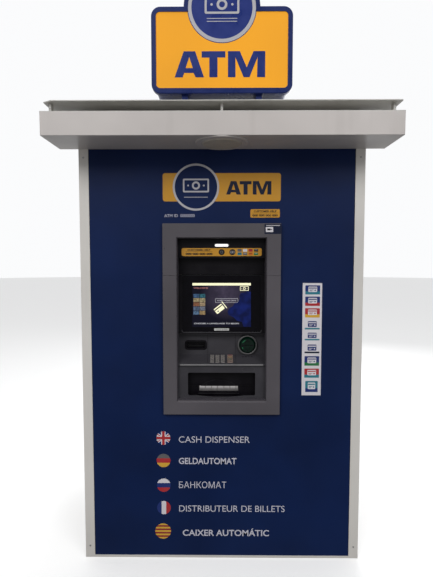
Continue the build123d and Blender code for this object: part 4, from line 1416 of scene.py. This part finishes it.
@dataclass
class Console:
    """Receipt slot, card reader, keypad and shelf."""

    edge_height: float = 0.0085
    key_legend_height: float = 0.0072
    shelf_rise: float = 0.032
    shelf_run: float = 0.087
    shelf_back: Point = (-0.313, 1.042)
    dots: tuple[float, ...] = (0.1105, 0.1255, 0.1405, 0.1555)
    dots_down: float = -0.0234
    joint: float = 0.0715
    rest: tuple[float, float, float, float] = (0.134, 0.981, 0.064, 0.020)
    rest_depth: float = -0.393

    def build(self) -> None:
        """Dresses the console and adds its edge, legends, signs and reader details."""
        dress(CONSOLE, "console_panel")
        dress(BLACK, "receipt_bezel")
        dress(CONSOLE, "keypad_housing")
        dress(RING, "reader_ring")
        dress(READER_GREEN, "reader_nose")
        self.put_edge()
        self.put_receipt()
        self.put_reader()
        self.put_marks()
        self.put_keys()

    def put_edge(self) -> None:
        """Adds a satin metal edging along the front of the shelf, pale enough to also paint the highlight
        along the shelf's lip.
        """
        front = low("console_panel").y
        nose = [v.co.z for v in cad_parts["console_panel"].data.vertices if v.co.y < front + 0.0004]
        face = Face(Vector((0, front, (min(nose) + max(nose)) / 2)))
        width = high("console_panel").x * 2 - 0.022
        cut(
            "shelf_edging_painted_highlight", [pad(0, 0, width, self.edge_height, 0.003)], face, SATIN_EDGE_HIGHLIGHT, depth=0.0020,
            bevel=0.0009,
        )

    def put_receipt(self) -> None:
        """Adds the paper guide roller and the tear blade with its teeth."""
        lowest, highest = low("receipt_bezel"), high("receipt_bezel")
        middle = (lowest + highest) / 2
        mouth = Face(Vector((middle.x, highest.y - 0.006, middle.z)))
        cut("receipt_roller", [pad(0, -0.008, 0.084, 0.007, 0.003)], mouth, RUBBER, depth=0.004, bevel=0.0015)
        teeth = [p for k in range(20) for p in ((-0.040 + 0.004 * k, 0.010), (-0.038 + 0.004 * k, 0.0076))]
        blade = teeth + [(0.040, 0.010), (0.040, 0.0145), (-0.040, 0.0145)]
        cut("receipt_tear_blade", [blade], mouth, BLACK, depth=0.0012)

    def put_reader(self) -> None:
        """Adds black pads that paint the shade of a dark cross over the nose, glowing arcs that paint glints,
        and the collar of the card reader.
        """
        lowest = low("reader_nose")
        middle = (lowest + high("reader_nose")) / 2
        face = Face(Vector((middle.x, lowest.y, middle.z)))
        # Black pads beside the slot and the notch: painted shade, a dark cross over the nose.
        for name, u, v, width, height in (
            ("left", -0.0215, 0, 0.017, 0.005), ("right", 0.0215, 0, 0.017, 0.005),
            ("upper", 0, 0.0270, 0.007, 0.009), ("lower", 0, -0.0270, 0.007, 0.009),
        ):
            cut(f"reader_painted_shade_{name}", [pad(u, v, width, height, 0.001)], face, BLACK, depth=0.0003)
        # Thin glowing arcs near the rim: painted glints on the green nose, not lamps.
        glow = Glow("reader_glint_painted", (0.02, 0.16, 0.07), strength=0.35, unevenness=0.2)
        for name, start, sweep in (("upper", 112, 40), ("lower", 200, 18)):
            outer = arc(0, 0, 0.0300, start, start + sweep, 12)
            inner = arc(0, 0, 0.0265, start, start + sweep, 12)
            cut(f"reader_painted_glint_{name}", [outer + inner[::-1]], face, glow, depth=0.0003)
        ring = (low("reader_ring") + high("reader_ring")) / 2
        collar = Face(Vector((ring.x, high("reader_ring").y, ring.z)))
        reach = (high("reader_ring").x - low("reader_ring").x) / 2
        lathe(
            "reader_collar",
            [(reach, 0.0), (reach + 0.004, 0.0), (reach + 0.003, 0.004), (reach, 0.0055)], collar,
            CONSOLE, steps=72,
        )

    def shelf_up(self) -> Vector:
        """Gives the direction up the sloping shelf, toward the screen."""
        return Vector((0, self.shelf_run, self.shelf_rise)).normalized()

    def put_marks(self) -> None:
        """Rings the shelf's four holes, inks the joints between its fields and edges the oval rest."""
        up = self.shelf_up()
        normal = Vector((1, 0, 0)).cross(up)
        points = [v.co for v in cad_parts["console_panel"].data.vertices]
        reach = max(p.dot(normal) for p in points if -0.36 < p.y < -0.32 and abs(p.z - 1.035) < 0.02)
        back = Vector((0, self.shelf_back[0], self.shelf_back[1]))
        face = Face(back + normal * (reach - back.dot(normal)), Vector((1, 0, 0)), up)
        for number, x in enumerate(self.dots, 1):
            ring = [circle(x, self.dots_down, 0.0042, 24), circle(x, self.dots_down, 0.0017, 20)]
            cut(f"shelf_hole_ring_{number}", ring, face, BLACK, depth=0.0004)
        upright = Face(Vector((0, self.shelf_back[0], 0)))
        top = high("console_panel").z - 0.004
        for side, name in ((-1, "left"), (1, "right")):
            x = side * self.joint
            line = box_outline(x - 0.0008, x + 0.0008, self.shelf_back[1] + 0.002, top)
            cut(f"face_joint_{name}", [line], upright, BLACK, depth=0.0003)
            cut(
                f"shelf_joint_{name}", [box_outline(x - 0.0008, x + 0.0008, -0.086, -0.002)], face, BLACK,
                depth=0.0003,
            )
        x, z, width, height = self.rest
        wall = Face(Vector((0, self.rest_depth, 0)))
        edge = [
            pad(x, z, width, height, height / 2 - 0.0004),
            pad(x, z, width - 0.003, height - 0.003, height / 2 - 0.002),
        ]
        cut("rest_edge", edge, wall, TRIM, depth=0.0004)

    def put_keys(self) -> None:
        """Dresses the sixteen keys and engraves their legends."""
        up = self.shelf_up()
        shades = {"key_cancel": PRINT_RED, "key_clear": PRINT_GOLD, "key_enter": PRINT_GREEN}
        warm = Brushed("key_metal_warm", (0.80, 0.62, 0.54), roughness=0.5, lines=1400.0)
        normal = Vector((1, 0, 0)).cross(up)
        for node in sorted(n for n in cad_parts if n.startswith("key_")):
            wide = high(node).x - low(node).x > 0.025
            dress(warm if wide else KEY_METAL, node)
            points = [v.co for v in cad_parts[node].data.vertices]
            reach = max(p.dot(normal) for p in points)
            top = [p for p in points if p.dot(normal) > reach - 1e-4]
            centre = sum(top, Vector()) / len(top)
            face = Face(centre, Vector((1, 0, 0)), up)
            body = f"{node}_body"
            legend = node.removeprefix("key_")
            height = self.key_legend_height
            if legend.isdigit():
                half = 0.0012 if legend == "1" else 0.0024
                write(
                    f"{node}_legend", legend, face, (-half, half), -height / 2, height, PRINT_BLACK, body,
                    depth=0.0001,
                )
            elif node in shades:
                cut(
                    f"{node}_mark", [pad(0, 0.0028, 0.017, 0.0022, 0.001)], face, shades[node], body,
                    depth=0.0002,
                )
                write(
                    f"{node}_legend", legend.upper(), face, (-0.0095, 0.0095), -0.0042, 0.0038,
                    PRINT_BLACK, body, depth=0.0001,
                )
            else:
                cut(f"{node}_mark", [circle(0, 0, 0.0012, 16)], face, PRINT_BLACK, body, depth=0.0001)


@dataclass
class CashBay:
    """The bay where banknotes come out, with its shutter."""

    pads: int = 6
    pad_gap: float = 0.0035
    last_pad: float = 0.010

    def build(self) -> None:
        """Dresses the bay and shutter and adds the shutter's plates and the bay's hood and ledge."""
        dress(BLACK, "cash_bay")
        dress(SHUTTER, "cash_shutter")
        shutter_low, shutter_high = low("cash_shutter"), high("cash_shutter")
        face = front_of("cash_shutter")
        left, right = shutter_low.x + 0.006, shutter_high.x - 0.006
        level = (shutter_low.z + shutter_high.z) / 2
        step = (right - left - self.last_pad) / self.pads
        widths = [step] * self.pads + [self.last_pad]
        for number, width in enumerate(widths):
            middle = left + step * number + width / 2
            outline = pad(middle, level, width - self.pad_gap, 0.0265, 0.002)
            # Each plate's finish glows on its upper part: a painted reflection.
            cut(f"shutter_plate_{number + 1}", [outline], face, PLATE_PAINTED_REFLECTION, "shutter", depth=0.0003)
        self.put_hood()

    def put_hood(self) -> None:
        """Adds the arched hood over the slot and the ledge under it, on the bay's back wall."""
        lowest, highest = low("cash_bay"), high("cash_bay")
        wall = Face(Vector(((low("cash_shutter").x + high("cash_shutter").x) / 2, highest.y - 0.009, 0)))
        top = high("cash_shutter").z - 0.003
        arch = arc(0, top - 0.118, 0.150, 52, 128, 20)
        cut("bay_hood", [arch + [(-0.118, top), (0.118, top)]], wall, BLACK, depth=0.006, bevel=0.002)
        floor = lowest.z + 0.004
        cut("bay_ledge", [pad(0, floor + 0.006, 0.214, 0.010, 0.004)], wall, BLACK, depth=0.010, bevel=0.003)


@dataclass
class ServiceSide:
    """Rear door, hinges, lever, safe, cassettes and modules."""

    gasket: float = 0.012

    def build(self) -> None:
        """Dresses everything behind the front and adds labels, seals and the lock."""
        dress(WHITE, "rear_door")
        dress(ZINC, "door_hinges", "cassette_rack")
        dress(STEEL, "door_handle", "safe_handle")
        dress(SAFE, "safe_body", "safe_door")
        dress(MODULE, "note_transport", "computer_box")
        dress(CASSETTE, *[f"cassette_{k}" for k in range(1, 5)])
        self.put_door_details()
        self.put_safe_details()
        self.put_cassette_details()
        self.put_module_details()

    def put_door_details(self) -> None:
        """Adds the key cylinder, the hinge screws and the door's seal."""
        handle = (low("door_handle") + high("door_handle")) / 2
        lever_top = high("door_handle").z - 0.014
        cylinder = rear_of("rear_door", handle.x, lever_top - 0.080)
        lathe(
            "lock_cylinder",
            [(0.0, 0.0), (0.0085, 0.0), (0.0085, 0.0008), (0.0075, 0.0014), (0.0, 0.0014)], cylinder,
            STEEL, "service_door", 32,
        )
        slot = pad(0, 0, 0.0016, 0.009, 0.0007)
        cut("lock_keyway", [slot], cylinder.moved(0, 0, 0.0014), PRINT_BLACK, "service_door", depth=0.0002)
        leaf_left = low("door_hinges").x
        plate = low("door_hinges").y + 0.004
        faces = [
            Face(Vector((leaf_left + 0.012 + 0.016 * k, plate, z - 0.020)), Vector((-1, 0, 0)))
            for k in range(2)
            for z in (0.26, 1.01, 1.76)
        ]
        screws("hinge_screws", faces, 0.0045, PLATED)
        opening = (low("rear_door"), high("rear_door"))
        inner = Face(Vector((0, opening[0].y, 0)))
        left, right = -0.5385, 0.5385
        bottom, top = opening[0].z + 0.0015, opening[1].z - 0.0015
        seal = [
            box_outline(left, right, bottom, top),
            box_outline(left + self.gasket, right - self.gasket, bottom + self.gasket, top - self.gasket),
        ]
        cut("door_seal", seal, inner, RUBBER, "service_door", depth=0.0008)

    def put_safe_details(self) -> None:
        """Adds the dial's tick marks and numbers."""
        disc = low("safe_handle")
        x = (disc.x + high("safe_handle").x) / 2
        dial = rear_of("safe_door", 0.130, 0.590)
        for step in range(20):
            turn = math.radians(18 * step)
            long = 0.0045 if step % 2 == 0 else 0.0025
            direction = Vector((math.sin(turn), 0, math.cos(turn)))
            spot = Face(
                dial.origin + direction * 0.017, Vector((-math.cos(turn), 0, math.sin(turn))), direction,
            )
            cut(
                f"dial_mark_{step + 1}", [box_outline(-0.0004, 0.0004, 0, long)], spot, PRINT_WHITE,
                "safe_door_leaf", depth=0.0002,
            )
        for number in range(10):
            turn = math.radians(36 * number)
            spot = dial.moved(0.0125 * math.sin(turn), 0.0125 * math.cos(turn))
            half = 0.0013 if number == 0 else 0.0015
            write(
                f"dial_number_{number}", str(number * 10), spot, (-half, half), -0.0012, 0.0024,
                PRINT_WHITE, "safe_door_leaf", depth=0.0002,
            )
        LOG.info("safe wheel centred at x %.3f", x)

    def put_cassette_details(self) -> None:
        """Adds a number plate and a latch to each cassette."""
        for number in range(1, 5):
            node, body = f"cassette_{number}", f"cassette_{number}_body"
            corner, far = low(node), high(node)
            face = Face(Vector(((corner.x + far.x) / 2, far.y - 0.022, corner.z)), Vector((-1, 0, 0)))
            cut(f"{node}_plate", [pad(-0.085, 0.090, 0.040, 0.016, 0.002)], face, LABEL, body)
            write(
                f"{node}_number", str(number), face, (-0.0875, -0.0825), 0.0845, 0.0105, PRINT_BLACK,
                body, level=1,
            )
            cut(
                f"{node}_latch", [pad(0.085, 0.088, 0.034, 0.020, 0.004)], face, STEEL, body, depth=0.004,
                bevel=0.0015,
            )

    def put_module_details(self) -> None:
        """Adds connectors and a status light to the computer."""
        face = rear_of("computer_box")
        corner, far = low("computer_box"), high("computer_box")
        middle = (corner.x + far.x) / 2
        for number in range(4):
            u = -(middle - 0.054 + 0.036 * number)
            cut(
                f"computer_port_{number + 1}",
                [pad(u, far.z - 0.020, 0.022, 0.011, 0.002), pad(u, far.z - 0.020, 0.017, 0.007, 0.001)],
                face, STEEL, depth=0.003,
            )
        lit = Glow("status_light_lit", (0.05, 0.8, 0.15), strength=1.5, unevenness=0.05)
        cut(
            "computer_status_light", [circle(-(far.x - 0.018), corner.z + 0.016, 0.003, 24)], face, lit,
            depth=0.001,
        )


@dataclass
class Studio:
    """Pale floor, soft lights and the camera."""

    camera_side: float = -0.006
    camera_height: float = 1.531
    camera_distance: float = 2.230
    pitch: float = 3.62
    yaw: float = 0.50
    lens: float = 28.08
    floor_radius: float = 40.0
    sky: tuple[tuple[float, ...], ...] = ((1, 0.25, 0.75, 0.36, 0.98), (2, -0.30, -0.10, 0.55, 1.0))
    lamps: tuple[tuple[str, tuple[float, float, float], float, float], ...] = (
        ("key_lamp", (-2.6, -5.2, 4.9), 3.0, 110.0), ("fill_lamp", (3.0, -5.2, 4.7), 3.0, 85.0),
        ("top_lamp", (0.0, -0.6, 5.8), 4.0, 70.0), ("rear_lamp", (1.6, 4.8, 3.4), 3.2, 90.0),
    )

    def build(self) -> None:
        """Builds the floor, the world light, the lamps and the camera."""
        self.lay_floor()
        self.light()
        self.place_camera()

    def lay_floor(self) -> None:
        """Lays a large round pale floor, which throws no soft light back up on the object."""
        work = bmesh.new()
        bmesh.ops.create_circle(work, cap_ends=True, radius=self.floor_radius, segments=96)
        mesh = bpy.data.meshes.new("studio_floor")
        work.to_mesh(mesh)
        work.free()
        floor = bpy.data.objects.new("studio_floor", mesh)
        floor.location.z = -0.0005
        floor.visible_diffuse = False
        floor.visible_glossy = False
        bench = NodeBench("studio_floor_paint")
        bench.set(
            Base_Color=(0.92, 0.92, 0.92), Roughness=0.95, Emission_Color=(1.0, 1.0, 1.0),
            Emission_Strength=0.3,
        )
        mesh.materials.append(bench.material)
        bpy.context.scene.collection.objects.link(floor)

    def light(self) -> None:
        """Sets the sky and the large soft lamps."""
        self.fill_sky()
        bpy.context.scene.view_settings.view_transform = "Standard"
        for name, spot, size, power in self.lamps:
            data = bpy.data.lights.new(name, "AREA")
            data.shape = "DISK"
            data.size = size
            data.energy = power
            lamp = bpy.data.objects.new(name, data)
            lamp.location = spot
            lamp.rotation_euler = (Vector((0, 0, 1.3)) - Vector(spot)).to_track_quat("-Z", "Y").to_euler()
            bpy.context.scene.collection.objects.link(lamp)

    def fill_sky(self) -> None:
        """Makes a sky that is bright behind the object, dimmer in front and dark below."""
        world = bpy.data.worlds.new("studio_sky")
        world.use_nodes = True
        bpy.context.scene.world = world
        nodes, links = world.node_tree.nodes, world.node_tree.links
        way = nodes.new("ShaderNodeSeparateXYZ")
        links.new(nodes.new("ShaderNodeTexCoord").outputs["Generated"], way.inputs[0])
        levels = []
        for axis, low_in, high_in, low_out, high_out in self.sky:
            ramp = nodes.new("ShaderNodeMapRange")
            links.new(way.outputs[axis], ramp.inputs["Value"])
            for name, value in (
                ("From Min", low_in), ("From Max", high_in), ("To Min", low_out), ("To Max", high_out),
            ):
                ramp.inputs[name].default_value = value
            levels.append(ramp.outputs[0])
        product = nodes.new("ShaderNodeMath")
        product.operation = "MULTIPLY"
        for socket, level in zip(product.inputs, levels):
            links.new(level, socket)
        background = nodes["Background"]
        background.inputs[0].default_value = (0.985, 0.99, 1.0, 1.0)
        links.new(product.outputs[0], background.inputs[1])

    def place_camera(self) -> None:
        """Stands the camera in front of the panel, a little above the middle."""
        data = bpy.data.cameras.new("camera")
        data.sensor_width = 36.0
        data.lens = self.lens
        data.clip_end = 200.0
        camera = bpy.data.objects.new("camera", data)
        camera.location = (self.camera_side, low("front_panel").y - self.camera_distance, self.camera_height)
        camera.rotation_euler = (math.radians(90 - self.pitch), 0.0, math.radians(self.yaw))
        bpy.context.scene.collection.objects.link(camera)
        bpy.context.scene.camera = camera


def main() -> None:
    """Builds every sub-assembly in order."""
    logging.basicConfig(level=logging.INFO, format="%(message)s")
    for part in (
        Cabinet(), RoofSign(), PanelGraphics(), MachineFront(), Display(), Console(), CashBay(),
        ServiceSide(), Studio(),
    ):
        part.build()
        LOG.info("%s is finished", type(part).__name__)


if __name__ == "__main__":
    main()
